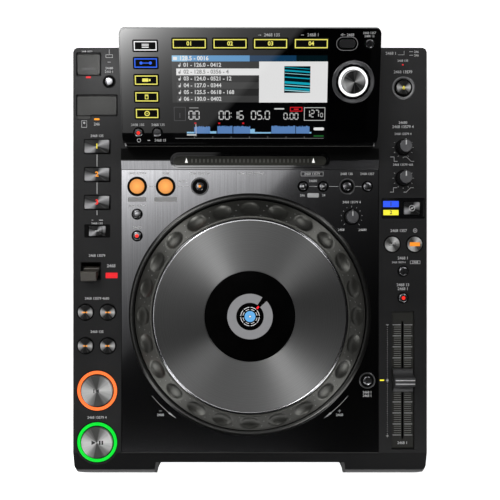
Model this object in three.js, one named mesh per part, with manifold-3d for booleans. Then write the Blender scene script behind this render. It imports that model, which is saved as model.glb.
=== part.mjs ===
// Tabletop disc player for DJs: a flat deck with a large jog wheel between two control strips,
// a tilted display console at the rear and a disc slot in the front.
// Millimetres, +X to the right, +Y to the rear, +Z up. The origin is on the table, under the middle
// of the overall box.
import * as THREE from "three";
import { mergeVertices } from "three/addons/utils/BufferGeometryUtils.js";
import Module from "manifold-3d";

const wasm = await Module();
wasm.setup();

// Body
const jogRadius = 103.1;
const bezelWidth = 6.7;
const plateMargin = 6.6;
const stripWidth = 43.6;
const deckHeight = 62;
const jogFrontMargin = 15.3;
const keyRowDepth = 21;
const rampRun = 8;
const rampRise = 2.5;
const rampShelf = 11;
const wall = 3;
const floorSkin = 2.5;
const plateThickness = 1.5;
const cornerRadius = 4;
const slopeRun = 16.9;
const slopeDrop = 6.5;
const lipRun = 3.6;
const lipDrop = 5.5;
const frontReach = 31;
const toeRun = 2;
const toeHeight = 4;
const bossRadius = 3;

// Front recess and disc slot
const recessHalf = 84;
const recessFlare = 5.5;
const recessHeadRun = 9.5;
const recessFootRun = 21.5;
const recessDrop = 3.7;
const slotWidth = 130;
const slotHeight = 5;
const slotDrop = 22;

// Pan, feet and what stands on them
const footHeight = 8;
const footRadius = 13;
const footDraft = 1.5;
const panThickness = 1.5;
const panInset = 1.5;
const ventLength = 34;
const ventWidth = 3;
const ventPitch = 8;
const ventCount = 7;
const postRadius = 4;
const driveWidth = 146;
const driveLength = 172;
const driveHeight = 17;
const bayWidth = 128;
const bayLength = 150;
const boardThickness = 1.6;
const mainBoardWidth = 270;
const mainBoardDepth = 150;
const supplyWidth = 66;
const supplyDepth = 96;
const supplyHeight = 22;
const supplyGap = 7.6;

// Keys
const keyTravel = 0.8;
const transportTravel = 1.2;
const flangeThickness = 1;
const flangeReach = 0.9;
const dishDepth = 0.8;
const dishReach = 0.9;
const capChamfer = 0.5;
const capRise = 2;
const smallCap = 3.9;
const pairCap = 6.7;
const ejectCap = 6.5;
const ejectDish = 10.4;
const stopDish = 5.6;
const reloopDish = 8;
const loopDish = 8.7;
const eraseDish = 7.2;
const transportCap = 14.2;
const transportRise = 2.8;
const tabRadius = 20.4;
const ringInner = 15;
const ringOuter = 18.1;
const ringSeat = 2;
const ringProud = 0.4;
const pocketReach = 1.6;
const pocketDepth = 11;
const cueKeyWidth = 22.3;
const cueKeyDepth = 11.7;
const recallWidth = 15;
const recallDepth = 9;
const modeKeyWidth = 14;
const modeKeyDepth = 10.9;
const modePlateWidth = 37.9;
const modePlateDepth = 17.3;
const modePlateDrop = 0.6;
const keyCorner = 1;

// Knobs
const knobRadius = 6.25;
const knobHeight = 15;
const lowKnobHeight = 8;
const knobLift = 0.5;
const knobTaper = 0.5;
const shaftRadius = 2.6;
const browseRadius = 10;
const browseTop = 7.9;
const browseHeight = 9.5;
const browseDish = 18.2;

// Tempo slider
const tempoTravel = 100;
const trackWidth = 20.5;
const trackLength = 125;
const trackDrop = 3;
const faderWidth = 18;
const faderBase = 21;
const faderTop = 7.6;
const faderHeight = 11.5;
const faderFoot = 2.5;
const faderSkirt = 3;
const faderWaist = 9;
const faderWaistRise = 5;
const stemWidth = 1;
const stemDepth = 6;
const stemEnd = 7.6;
const faderBodyWidth = 12;

// Direction lever
const leverWidth = 14;
const leverHeight = 12;
const leverHead = 9.2;
const leverNeck = 4.8;
const leverNeckRise = 4;
const leverPivot = 8;
const leverHub = 4.5;
const leverThrow = THREE.MathUtils.degToRad(14);
const leverSlotDepth = 14.6;
const leverSlotMargin = 1.5;
const cheekThickness = 2;

// Port covers
const portCoverWidth = 20.3;
const portCoverDepth = 18.7;
const cardCoverWidth = 35.3;
const cardCoverDepth = 17;
const cardTabWidth = 12;
const cardTabDepth = 4;
const coverThickness = 1.5;
const wellDepth = 12;
const wellWall = 1.4;
const coverEdgeArc = THREE.MathUtils.degToRad(120);

// Jog wheel
const dialLift = 2.5;
const rimHeight = 4.5;
const rimChamfer = 1.2;
const shoulderRadius = 88;
const dialHeight = 21;
const platterRadius = 86.2;
const platterThickness = 2;
const platterProud = 1.5;
const platterChamfer = 1.4;
const lensRadius = 39.8;
const dialWall = 3;
const dimpleCount = 24;
const dimpleWidth = 17;
const dimpleLength = 16.6;
const dimpleDepth = 2.2;
const hubWall = 4;
const spindleRadius = 22;
const spindleFlange = 62;
const spindleFlangeThickness = 2.5;
const displayThickness = 3;
const bezelHeight = 2.6;
const bezelLand = 2;
const bezelGap = 0.9;
const cableHole = 12;
const underDial = 4;

// Console
const consoleWidth = 225;
const consoleLength = 98.5;
const consoleRise = 19.3;
const consoleTilt = THREE.MathUtils.degToRad(13.3);
const consoleLip = 2;
const consoleHeel = 7.4;
const consoleRearLip = 1.2;
const heelDrop = 22;
const windowRim = 0.6;
const windowThickness = 2;
const windowCorner = 4;
const consoleSkin = 2.5;
const screenWidth = 135;
const screenDepth = 72;
const menuKeyWidth = 29.1;
const menuKeyDepth = 8.5;
const sourceKeyWidth = 20.4;
const sourceKeyDepth = 8.7;
const keyboardRise = 0.7;
const backKeyWidth = 13.7;
const backKeyDepth = 6.8;
const backDishReach = 2.4;
const consoleCap = 3.7;
const boardInset = 5;

// Needle strip
const needleWidth = 141;
const needleDepth = 12;
const needleDrop = 2;
const needleProud = 0.4;

// Rear panel
const jackPanelWidth = 208;
const jackPanelDrop = 14;
const jackPanelRise = 18;
const jackRadius = 4.2;
const jackBore = 1.7;
const jackReach = 6.5;
const socketDepth = 13;
const socketWall = 1.2;
const powerDrop = 22;
const powerCap = 5.5;
const powerRise = 3;

// Gaps that all pieces share
const seatGap = 0.3;
const overrun = 1;
const mergeDistance = 1e-4;

// Facets round a full circle
const smallRound = 8;
const smallRadius = 8;
const mediumRound = 16;
const largeRound = 48;
const bowlRound = 8;
const cornerFacets = 1;
const pillFacets = 4;
const coverEdgeFacets = 4;

// Places worked out from the sizes above
const bezelRadius = jogRadius + bezelWidth;
const plateHalf = bezelRadius + plateMargin;
const bodyWidth = 2 * (plateHalf + stripWidth);
const stripCentre = plateHalf + stripWidth / 2;
const plateDepth = jogFrontMargin + 2 * bezelRadius + keyRowDepth;
const consoleRun = consoleLength * Math.cos(consoleTilt);
const consoleReach = consoleLip + consoleRun + consoleRearLip;
const overallDepth = frontReach + plateDepth + rampRun + rampShelf + consoleReach;
const deckFront = frontReach - overallDepth / 2;
const plateRear = deckFront + plateDepth;
const jogY = deckFront + jogFrontMargin + bezelRadius;
const consoleFace = plateRear + rampRun + rampShelf;
const deckRear = overallDepth / 2 - consoleHeel;
const deckDepth = deckRear - deckFront;
const panelDepth = plateThickness + floorSkin;
const panelUnderside = deckHeight - panelDepth;
const plateFloor = deckHeight - plateThickness;
const shelfTop = deckHeight + rampRise;
const panTop = footHeight + panThickness;
const wallFoot = panTop + seatGap;
const keyStop = seatGap + flangeThickness + transportTravel + seatGap;
const boardTop = panelUnderside - keyStop;
const mainBoardRise = boardTop - boardThickness - supplyGap - supplyHeight;
const slotRise = deckHeight - slotDrop;
const powerHeight = deckHeight - powerDrop;
const jackPanelHeight = deckHeight - jackPanelDrop - jackPanelRise;
const consoleDepth = windowThickness + consoleSkin;

// Places on the strips: across as shares of the strip's width from its middle, along as shares of
// the deck's depth from its front edge
const stripShares = {
  portCover: [-0.179, 0.9591],
  stop: [0.248, 0.9161],
  cardCover: [-0.008, 0.8578],
  hotCues: [
    [0, 0.7558],
    [0, 0.6868],
    [0, 0.6181],
  ],
  recall: [0, 0.5475],
  direction: [-0.133, 0.449],
  trackBack: [-0.243, 0.347],
  trackForward: [0.22, 0.347],
  searchBack: [-0.243, 0.2643],
  searchForward: [0.22, 0.2643],
  cue: [0, 0.1534],
  play: [0, 0.0262],
  eject: [0.014, 0.9008],
  touchBrake: [0.009, 0.7535],
  releaseStart: [0.009, 0.6777],
  jogMode: [0.01, 0.6035],
  modeKey: [0.183, 0.6035],
  sync: [-0.222, 0.5148],
  master: [0.243, 0.5148],
  tempoRange: [0.007, 0.4484],
  masterTempo: [0.007, 0.3824],
  tempo: [0.005, 0.1788],
  power: [0, 0.5],
};

// Places on the plate, as shares of the bezel's radius from the middle of the jog wheel, and the key
// row's distance from the plate's rear edge as a share of the row's depth
const keyRowShare = 0.71;
const rowShares = {
  loop_in_button: -0.93,
  loop_out_button: -0.695,
  reloop_button: -0.413,
  call_back_button: 0.437,
  call_forward_button: 0.602,
  delete_button: 0.8,
  memory_button: 0.967,
};
const cornerShares = {
  loop_mode_button: [-0.93, 0.827],
  slip_button: [-0.93, 0.648],
  jog_adjust_knob: [0.838, 0.803],
  tempo_reset_button: [0.966, -0.544],
};

// Places on the console: across as shares of its half width, along as shares of its length from the
// front edge
const consoleShares = {
  menuRow: 0.87,
  menuColumns: [-0.462, -0.152, 0.157, 0.467],
  sourceColumn: -0.798,
  sourceRows: [0.852, 0.706, 0.56, 0.415, 0.27],
  quantize: [-0.869, 0.1],
  timeMode: [-0.723, 0.1],
  back: [0.74, 0.87],
  tag: [0.912, 0.87],
  browse: [0.795, 0.545],
  screen: [0, 0.41],
};

// Places of hidden supports, as shares of the plate's half width and of the deck's depth
const bossShares = [
  [0.95, 0.12],
  [0.95, 0.45],
  [0.5, 0.93],
];
const footShares = [0.06, 0.94];

// Rear jacks across the panel, and its sockets as [across, width, height]: shares of the panel's
// width, height and height
const jackShares = [0.42, 0.3, 0.2, 0.08];
const socketShares = [
  [-0.06, 0.52, 0.4],
  [-0.19, 0.37, 0.34],
  [-0.38, 0.88, 0.62],
];
const ventShares = [0.25, 0.78];

const onStrip = (side, [across, along]) => [
  side * stripCentre + across * stripWidth,
  deckFront + along * deckDepth,
];
const onLeft = (shares) => onStrip(-1, shares);
const onRight = (shares) => onStrip(1, shares);
const inRow = (share) => [share * bezelRadius, plateRear - keyRowShare * keyRowDepth];
const inCorner = ([across, along]) => [across * bezelRadius, jogY + along * bezelRadius];
const onConsole = ([across, along]) => [(across * consoleWidth) / 2, along * consoleLength];

// Shapes

function solid(geometry) {
  geometry.deleteAttribute("normal");
  geometry.deleteAttribute("uv");
  const merged = mergeVertices(geometry, mergeDistance);
  const { array } = merged.index;
  const corners = [];
  for (let i = 0; i < array.length; i += 3) {
    const [a, b, c] = array.slice(i, i + 3);
    if (a !== b && b !== c && c !== a) {
      corners.push(a, b, c);
    }
  }
  const vertProperties = Float32Array.from(merged.attributes.position.array);
  const triVerts = Uint32Array.from(corners);
  return new wasm.Manifold(new wasm.Mesh({ numProp: 3, vertProperties, triVerts }));
}

function join(first, ...others) {
  return others.reduce((whole, other) => whole.add(other), first);
}

function cut(first, ...tools) {
  return tools.reduce((rest, tool) => rest.subtract(tool), first);
}

function outline(points) {
  return new THREE.Shape(points.map(([x, y]) => new THREE.Vector2(x, y)));
}

function roundedRectangle(width, depth, radius) {
  const [x, y] = [width / 2, depth / 2];
  const shape = new THREE.Shape();
  shape.moveTo(radius - x, -y);
  shape.absarc(x - radius, radius - y, radius, -Math.PI / 2, 0);
  shape.absarc(x - radius, y - radius, radius, 0, Math.PI / 2);
  shape.absarc(radius - x, y - radius, radius, Math.PI / 2, Math.PI);
  shape.absarc(radius - x, radius - y, radius, Math.PI, Math.PI * 1.5);
  return shape;
}

// A rectangle with clipped corners, for keys and what fits round them
function clippedRectangle(width, depth, clip) {
  const [x, y] = [width / 2, depth / 2];
  return outline([
    [clip - x, -y],
    [x - clip, -y],
    [x, clip - y],
    [x, y - clip],
    [x - clip, y],
    [clip - x, y],
    [-x, y - clip],
    [-x, clip - y],
  ]);
}

function upright(shape, low, high, curveSegments = cornerFacets) {
  const options = { depth: high - low, bevelEnabled: false, curveSegments };
  return solid(new THREE.ExtrudeGeometry(shape, options).translate(0, 0, low));
}

// A prism whose two ends are chamfered
function chamfered(shape, low, high, chamfer) {
  const options = {
    depth: high - low - 2 * chamfer,
    bevelThickness: chamfer,
    bevelSize: chamfer,
    bevelOffset: -chamfer,
    bevelSegments: 1,
    curveSegments: cornerFacets,
  };
  return solid(new THREE.ExtrudeGeometry(shape, options).translate(0, 0, low + chamfer));
}

// A side view, drawn as [y, z], swept from left to right
function sideways(points, left, right) {
  const options = { depth: right - left, bevelEnabled: false };
  const geometry = new THREE.ExtrudeGeometry(outline(points), options);
  const turn = new THREE.Matrix4().makeBasis(
    new THREE.Vector3(0, 1, 0),
    new THREE.Vector3(0, 0, 1),
    new THREE.Vector3(1, 0, 0),
  );
  return solid(geometry.applyMatrix4(turn).translate(left, 0, 0));
}

// A profile of [radius, z] points, listed upwards along the outside, turned round the Z axis
function turned(profile, segments) {
  const points = profile.map(([radius, z]) => new THREE.Vector2(radius, z));
  return solid(new THREE.LatheGeometry(points, segments).rotateX(Math.PI / 2));
}

function facets(radius) {
  return radius > smallRadius ? mediumRound : smallRound;
}

function disc(radius, low, high, segments = smallRound) {
  const profile = [
    [0, low],
    [radius, low],
    [radius, high],
    [0, high],
  ];
  return turned(profile, segments);
}

function block([width, depth, height], [x, y, low]) {
  const geometry = new THREE.BoxGeometry(width, depth, height);
  return solid(geometry.translate(x, y, low + height / 2));
}

function at(shape, [x, y], z = 0) {
  return shape.translate([x, y, z]);
}

// Scene

const player = new THREE.Group();
const consoleGroup = new THREE.Group();
consoleGroup.position.set(0, consoleFace + consoleLip, deckHeight + consoleRise);
consoleGroup.rotation.x = consoleTilt;
player.add(consoleGroup);

function finish(color, roughness, metalness = 0) {
  return new THREE.MeshStandardMaterial({ color, roughness, metalness });
}

const finishes = {
  strip: finish(0x3b3b3d, 0.55),
  plate: finish(0x2a2a2c, 0.3, 0.6),
  gloss: finish(0x0b0b0c, 0.12),
  steel: finish(0x8b8d90, 0.45, 0.9),
  spun: finish(0x9a9b9d, 0.3, 1),
  dial: finish(0x3a3a38, 0.4),
  cap: finish(0x1d1d1f, 0.35),
  silverCap: finish(0xb9babc, 0.28, 1),
  orange: finish(0xf4a04c, 0.4),
  green: finish(0x18e04a, 0.4),
  knob: finish(0x19191a, 0.5),
  board: finish(0x1f5a38, 0.6),
  dark: finish(0x161617, 0.6),
};

function piece(name, shape, material, place = [0, 0, 0], parent = player) {
  const { numProp, vertProperties, triVerts } = shape.getMesh();
  const geometry = new THREE.BufferGeometry();
  geometry.setAttribute("position", new THREE.BufferAttribute(vertProperties, numProp));
  geometry.setIndex(new THREE.BufferAttribute(triVerts, 1));
  const mesh = new THREE.Mesh(geometry, material);
  mesh.name = name;
  mesh.position.set(...place);
  parent.add(mesh);
  return mesh;
}

// Keys: each is a cap in a hole, kept in by a flange under the panel

function roundKey(radius, rise, depth) {
  const top = -depth - seatGap;
  const profile = [
    [0, top - flangeThickness],
    [radius + flangeReach, top - flangeThickness],
    [radius + flangeReach, top],
    [radius, top],
    [radius, rise - capChamfer],
    [radius - capChamfer, rise],
    [0, rise],
  ];
  return turned(profile, facets(radius));
}

function roundHole(radius, dish, depth) {
  const profile = [
    [0, -depth - overrun],
    [radius + seatGap, -depth - overrun],
    [radius + seatGap, -dishDepth],
    [dish, 0],
    [dish, overrun],
    [0, overrun],
  ];
  return turned(profile, facets(radius));
}

function squareKey(width, depth, rise, panel) {
  const top = -panel - seatGap;
  const cap = clippedRectangle(width, depth, keyCorner);
  const reach = 2 * flangeReach;
  const flange = clippedRectangle(width + reach, depth + reach, keyCorner);
  return join(
    chamfered(cap, top - flangeThickness / 2, rise, capChamfer),
    upright(flange, top - flangeThickness, top),
  );
}

function squareHole(width, depth, panel) {
  const gap = 2 * seatGap;
  const shape = clippedRectangle(width + gap, depth + gap, keyCorner);
  return upright(shape, -panel - overrun, overrun);
}

const roundKeys = [
  ["usb_stop_button", onLeft(stripShares.stop), smallCap, stopDish, "cap"],
  ["track_search_back_button", onLeft(stripShares.trackBack), pairCap, pairCap + dishReach, "cap"],
  ["track_search_forward_button", onLeft(stripShares.trackForward), pairCap, pairCap + dishReach, "cap"],
  ["search_reverse_button", onLeft(stripShares.searchBack), pairCap, pairCap + dishReach, "cap"],
  ["search_forward_button", onLeft(stripShares.searchForward), pairCap, pairCap + dishReach, "cap"],
  ["disc_eject_button", onRight(stripShares.eject), ejectCap, ejectDish, "cap"],
  ["sync_button", onRight(stripShares.sync), pairCap, pairCap + dishReach, "silverCap"],
  ["master_button", onRight(stripShares.master), pairCap, pairCap + dishReach, "silverCap"],
  ["tempo_range_button", onRight(stripShares.tempoRange), smallCap, smallCap + dishReach, "cap"],
  ["master_tempo_button", onRight(stripShares.masterTempo), smallCap, smallCap + dishReach, "cap"],
  ["loop_in_button", inRow(rowShares.loop_in_button), pairCap, loopDish, "orange"],
  ["loop_out_button", inRow(rowShares.loop_out_button), pairCap, loopDish, "orange"],
  ["reloop_button", inRow(rowShares.reloop_button), smallCap, reloopDish, "cap"],
  ["call_back_button", inRow(rowShares.call_back_button), smallCap, smallCap + dishReach, "cap"],
  ["call_forward_button", inRow(rowShares.call_forward_button), smallCap, smallCap + dishReach, "cap"],
  ["delete_button", inRow(rowShares.delete_button), smallCap, eraseDish, "cap"],
  ["memory_button", inRow(rowShares.memory_button), smallCap, smallCap + dishReach, "cap"],
  ["loop_mode_button", inCorner(cornerShares.loop_mode_button), smallCap, smallCap + dishReach, "cap"],
  ["slip_button", inCorner(cornerShares.slip_button), smallCap, smallCap + dishReach, "cap"],
  ["tempo_reset_button", inCorner(cornerShares.tempo_reset_button), smallCap, eraseDish, "cap"],
];

const squareKeys = [
  ["hot_cue_a_button", onLeft(stripShares.hotCues[0]), cueKeyWidth, cueKeyDepth, "cap"],
  ["hot_cue_b_button", onLeft(stripShares.hotCues[1]), cueKeyWidth, cueKeyDepth, "cap"],
  ["hot_cue_c_button", onLeft(stripShares.hotCues[2]), cueKeyWidth, cueKeyDepth, "cap"],
  ["recall_button", onLeft(stripShares.recall), recallWidth, recallDepth, "cap"],
  ["jog_mode_button", onRight(stripShares.modeKey), modeKeyWidth, modeKeyDepth, "cap"],
];

const transportKeys = [
  ["cue_button", "cue_light_ring", onLeft(stripShares.cue), "orange"],
  ["play_button", "play_light_ring", onLeft(stripShares.play), "green"],
];

const knobs = [
  ["touch_brake_knob", onRight(stripShares.touchBrake), knobHeight],
  ["release_start_knob", onRight(stripShares.releaseStart), knobHeight],
  ["jog_adjust_knob", inCorner(cornerShares.jog_adjust_knob), lowKnobHeight],
];

function knob(height) {
  const foot = seatGap - panelDepth - keyStop;
  const profile = [
    [0, foot],
    [shaftRadius, foot],
    [shaftRadius, knobLift],
    [knobRadius, knobLift],
    [knobRadius - knobTaper, height - capChamfer],
    [knobRadius - knobTaper - capChamfer, height],
    [0, height],
  ];
  return turned(profile, mediumRound);
}

function knobHole() {
  return disc(shaftRadius + seatGap, -panelDepth - overrun, overrun, mediumRound);
}

function transportHole() {
  const pocket = ringInner + pocketReach;
  const profile = [
    [0, -pocketDepth],
    [pocket, -pocketDepth],
    [pocket, -panelDepth],
    [ringInner, -panelDepth],
    [ringInner, -ringSeat],
    [ringOuter + seatGap, -ringSeat],
    [ringOuter + seatGap, overrun],
    [0, overrun],
  ];
  return turned(profile, mediumRound);
}

function lightRing() {
  const profile = [
    [ringInner, -ringSeat],
    [ringOuter, -ringSeat],
    [ringOuter, 0],
    [ringOuter - ringProud, ringProud],
    [ringInner + ringProud, ringProud],
    [ringInner, 0],
    [ringInner, -ringSeat],
  ];
  return turned(profile, mediumRound);
}

function panelHoles() {
  return [
    ...roundKeys.map(([, place, radius, dish]) => at(roundHole(radius, dish, panelDepth), place)),
    ...squareKeys.map(([, place, width, depth]) => at(squareHole(width, depth, panelDepth), place)),
    ...transportKeys.map(([, , place]) => at(transportHole(), place)),
    ...knobs.map(([, place]) => at(knobHole(), place)),
  ].map((hole) => at(hole, [0, 0], deckHeight));
}

// Housing

function bodySide() {
  const slopeFoot = deckFront - slopeRun;
  return [
    [deckRear, wallFoot],
    [deckRear, deckHeight],
    [deckFront, deckHeight],
    [slopeFoot, deckHeight - slopeDrop],
    [slopeFoot - lipRun, deckHeight - slopeDrop - lipDrop],
    [deckFront - frontReach, wallFoot + toeHeight],
    [deckFront - frontReach + toeRun, wallFoot],
  ];
}

function cavitySide() {
  const [, , crest, slopeFoot, lip, toe, foot] = bodySide();
  return [
    [deckRear - wall, -overrun],
    [deckRear - wall, panelUnderside],
    [crest[0] + wall / 2, panelUnderside],
    [slopeFoot[0] + wall, slopeFoot[1] - panelDepth],
    [lip[0] + wall, lip[1] - panelDepth],
    [toe[0] + wall, toe[1]],
    [foot[0] + wall, foot[1] - toeHeight],
    [foot[0] + wall, -overrun],
  ];
}

// The front face of the recess as a line: its place along Y at a height
function recessFace(height) {
  const top = deckHeight - recessDrop;
  const share = (top - height) / (top - wallFoot);
  return deckFront - recessHeadRun - share * (recessFootRun - recessHeadRun);
}

const noseY = deckFront - frontReach;

function recessPlan(growth, rear) {
  const half = recessHalf + growth;
  return outline([
    [-half - recessFlare, noseY - overrun],
    [half + recessFlare, noseY - overrun],
    [half, rear],
    [-half, rear],
  ]);
}

function recessBlock(growth) {
  const low = wallFoot - overrun;
  const side = [
    [noseY - overrun, low],
    [recessFace(low) + growth, low],
    [recessFace(deckHeight) + growth, deckHeight],
    [noseY - overrun, deckHeight],
  ];
  const plan = upright(recessPlan(growth, deckFront), low, deckHeight);
  return plan.intersect(sideways(side, -bodyWidth / 2, bodyWidth / 2));
}

// A slab with the body's footprint from above
function footprint(inset, low, high) {
  const [width, depth] = [bodyWidth - 2 * inset, deckRear - noseY - 2 * inset];
  const slab = upright(roundedRectangle(width, depth, cornerRadius), low, high);
  return at(slab, [0, (deckRear + noseY) / 2]);
}

function bodyBlock() {
  const block = sideways(bodySide(), -bodyWidth / 2, bodyWidth / 2);
  return block.intersect(footprint(0, 0, deckHeight + overrun));
}

function ramp() {
  const side = [
    [plateRear + seatGap, plateFloor],
    [plateRear + seatGap, deckHeight],
    [plateRear + rampRun, shelfTop],
    [deckRear - wall, shelfTop],
    [deckRear - wall, plateFloor],
  ];
  return sideways(side, -plateHalf, plateHalf);
}

function well(width, depth, place) {
  const [w, d] = [width + 2 * (seatGap + wellWall), depth + 2 * (seatGap + wellWall)];
  return at(block([w, d, wellDepth + wellWall], [0, 0, -wellDepth - wellWall]), place, deckHeight);
}

function wellHollow(width, depth, place) {
  const size = [width + 2 * seatGap, depth + 2 * seatGap, wellDepth + overrun];
  return at(block(size, [0, 0, -wellDepth]), place, deckHeight);
}

// The card cover's finger tab, or the notch for it
function cardTab(margin, low, high) {
  const size = [cardTabWidth + 2 * margin, cardTabDepth + overrun + margin, high - low];
  const x = (cardTabWidth - cardCoverWidth) / 2;
  const y = (overrun - margin - cardCoverDepth - cardTabDepth) / 2;
  return block(size, [x, y, low]);
}

function needleOutline(margin) {
  const [width, depth] = [needleWidth + 2 * margin, needleDepth + 2 * margin];
  return roundedRectangle(width, depth, depth / 2);
}

function leverCheeks() {
  const size = [cheekThickness, 2 * leverHub, leverPivot + leverHub - panelDepth];
  const offset = (leverWidth + cheekThickness) / 2 + seatGap;
  return [-1, 1].map((side) => block(size, [side * offset, 0, -leverPivot - leverHub]));
}

const places = {
  portCover: onLeft(stripShares.portCover),
  cardCover: onLeft(stripShares.cardCover),
  lever: onLeft(stripShares.direction),
  tempo: onRight(stripShares.tempo),
  modePlate: onRight(stripShares.jogMode),
  needle: [0, plateRear + rampRun],
  bosses: [-1, 1].flatMap((side) =>
    bossShares.map(([across, along]) => [side * across * plateHalf, deckFront + along * deckDepth]),
  ),
};

const [powerX] = onRight(stripShares.power);

function housingCuts() {
  const leverSlot = [leverWidth + 2 * leverSlotMargin, leverSlotDepth, panelDepth + 2 * overrun];
  const modePlate = [modePlateWidth, modePlateDepth, modePlateDrop + overrun];
  const track = [trackWidth, trackLength, trackDrop + overrun];
  const slotLength = tempoTravel + stemDepth + 4 * seatGap;
  const slot = [stemWidth + 2 * seatGap, slotLength, panelDepth + 2 * overrun];
  const plateSeat = [2 * (plateHalf + seatGap), plateDepth + 2 * seatGap, plateThickness + overrun];
  const discSlot = [slotWidth, frontReach, slotHeight];
  const jackOpening = [jackPanelWidth, wall + 2 * overrun, jackPanelHeight];
  return [
    block(plateSeat, [0, deckFront + plateDepth / 2, plateFloor]),
    at(block(leverSlot, [0, 0, -panelDepth - overrun]), places.lever, deckHeight),
    at(block(modePlate, [0, 0, -modePlateDrop]), places.modePlate, deckHeight),
    at(block(track, [0, 0, -trackDrop]), places.tempo, deckHeight),
    at(block(slot, [0, 0, -panelDepth - overrun]), places.tempo, deckHeight),
    wellHollow(portCoverWidth, portCoverDepth, places.portCover),
    wellHollow(cardCoverWidth, cardCoverDepth, places.cardCover),
    at(cardTab(seatGap, -2 * coverThickness, overrun), places.cardCover, deckHeight),
    block(discSlot, [0, deckFront - frontReach / 2, slotRise - slotHeight / 2]),
    block(jackOpening, [0, deckRear - wall / 2, jackPanelRise]),
    at(disc(cableHole, plateFloor - floorSkin - overrun, deckHeight, mediumRound), [0, jogY]),
    at(upright(needleOutline(seatGap), shelfTop - needleDrop, shelfTop + overrun, pillFacets), places.needle),
    powerHole(),
  ];
}

function mainHousing() {
  const shell = cut(
    join(
      cut(bodyBlock(), recessBlock(0)),
      at(disc(tabRadius, deckHeight - panelDepth - slopeDrop / 2, deckHeight, mediumRound),
        onLeft(stripShares.play)),
    ),
    cut(sideways(cavitySide(), wall - bodyWidth / 2, bodyWidth / 2 - wall), recessBlock(wall)),
  );
  const carried = join(
    shell,
    ramp(),
    well(portCoverWidth, portCoverDepth, places.portCover),
    well(cardCoverWidth, cardCoverDepth, places.cardCover),
    ...leverCheeks().map((cheek) => at(cheek, places.lever, deckHeight)),
    ...places.bosses.map((place) => at(disc(bossRadius, boardTop + seatGap, plateFloor), place)),
  );
  return cut(carried, ...housingCuts(), ...panelHoles());
}

function powerHole() {
  const hole = disc(powerCap + seatGap, -wall - overrun, overrun);
  return hole.rotate([-90, 0, 0]).translate([powerX, deckRear, powerHeight]);
}

function deckPlate() {
  const size = [2 * plateHalf, plateDepth, plateThickness];
  const jogHole = disc(jogRadius, plateFloor - overrun, deckHeight + overrun, largeRound);
  const sheet = block(size, [0, deckFront + plateDepth / 2, plateFloor]);
  return cut(sheet, at(jogHole, [0, jogY]), ...panelHoles());
}

// Pan, and the drive and boards in the body

const driveLow = slotRise - driveHeight / 2;
const driveFront = recessFace(slotRise + driveHeight / 2) + wall + seatGap;
const driveY = driveFront + driveLength / 2;
const mainBoardY = driveFront + driveLength + wall + mainBoardDepth / 2;

function postsUnder(width, depth, y, top) {
  const [x, reach] = [width / 2 - 2 * postRadius, depth / 2 - 2 * postRadius];
  const post = disc(postRadius, panTop - panThickness / 2, top);
  return [-1, 1].flatMap((side) => [-1, 1].map((end) => at(post, [side * x, y + end * reach])));
}

function feet() {
  const top = panTop - panThickness / 2;
  const profile = [
    [0, 0],
    [footRadius - footDraft, 0],
    [footRadius, footDraft],
    [footRadius, top],
    [0, top],
  ];
  const foot = turned(profile, mediumRound);
  return footShares.flatMap((share) =>
    [-1, 1].map((side) => at(foot, [side * stripCentre, deckFront + share * deckDepth])),
  );
}

function vents() {
  const vent = block([ventWidth, ventLength, panThickness + 2 * overrun], [0, 0, footHeight - overrun]);
  return ventShares.flatMap((share) =>
    Array.from({ length: ventCount }, (_, i) =>
      at(vent, [(i - (ventCount - 1) / 2) * ventPitch, deckFront + share * deckDepth]),
    ),
  );
}

function basePan() {
  const rear = recessFace(footHeight) + panInset;
  const recess = upright(recessPlan(panInset, rear), footHeight - overrun, panTop + overrun);
  return join(
    cut(footprint(panInset + toeRun, footHeight, panTop), recess, ...vents()),
    ...feet(),
    ...postsUnder(driveWidth, driveLength, driveY, driveLow - seatGap),
    ...postsUnder(mainBoardWidth, mainBoardDepth, mainBoardY, mainBoardRise - seatGap),
  );
}

function discDrive() {
  const body = block([driveWidth, driveLength, driveHeight], [0, driveY, driveLow]);
  const bayY = driveFront + (bayLength - overrun) / 2;
  const bay = block([bayWidth, bayLength + overrun, slotHeight], [0, bayY, slotRise - slotHeight / 2]);
  return cut(body, bay);
}

function mainBoard() {
  const x = (supplyWidth - mainBoardWidth) / 2 + 2 * postRadius;
  return join(
    block([mainBoardWidth, mainBoardDepth, boardThickness], [0, mainBoardY, mainBoardRise]),
    block([supplyWidth, supplyDepth, supplyHeight], [x, mainBoardY, mainBoardRise]),
  );
}

// The board under the deck carries every key's contact and the tempo slider's track
function panelBoard() {
  const front = deckFront - wall;
  const rear = deckRear - 2 * wall;
  const low = boardTop - boardThickness;
  const room = 2 * (wellWall + 3 * seatGap);
  const hole = (width, depth, place) =>
    block([width, depth, boardThickness + 2 * overrun], [...place, low - overrun]);
  const trackLong = tempoTravel + stemDepth + 4 * seatGap;
  const trackHigh = boardThickness + keyStop - seatGap;
  const groove = [stemWidth + 2 * seatGap, trackLong, trackHigh + 2 * overrun];
  return cut(
    join(
      block([bodyWidth - 4 * wall, rear - front, boardThickness], [0, (front + rear) / 2, low]),
      block([faderBodyWidth, trackLong + stemDepth, trackHigh], [...places.tempo, low]),
    ),
    block(groove, [...places.tempo, low - overrun]),
    hole(portCoverWidth + room, portCoverDepth + room, places.portCover),
    hole(cardCoverWidth + room, cardCoverDepth + room, places.cardCover),
    hole(leverWidth + 2 * cheekThickness + room, leverSlotDepth, places.lever),
    at(disc(cableHole, low - overrun, boardTop + overrun, mediumRound), [0, jogY]),
  );
}

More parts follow.
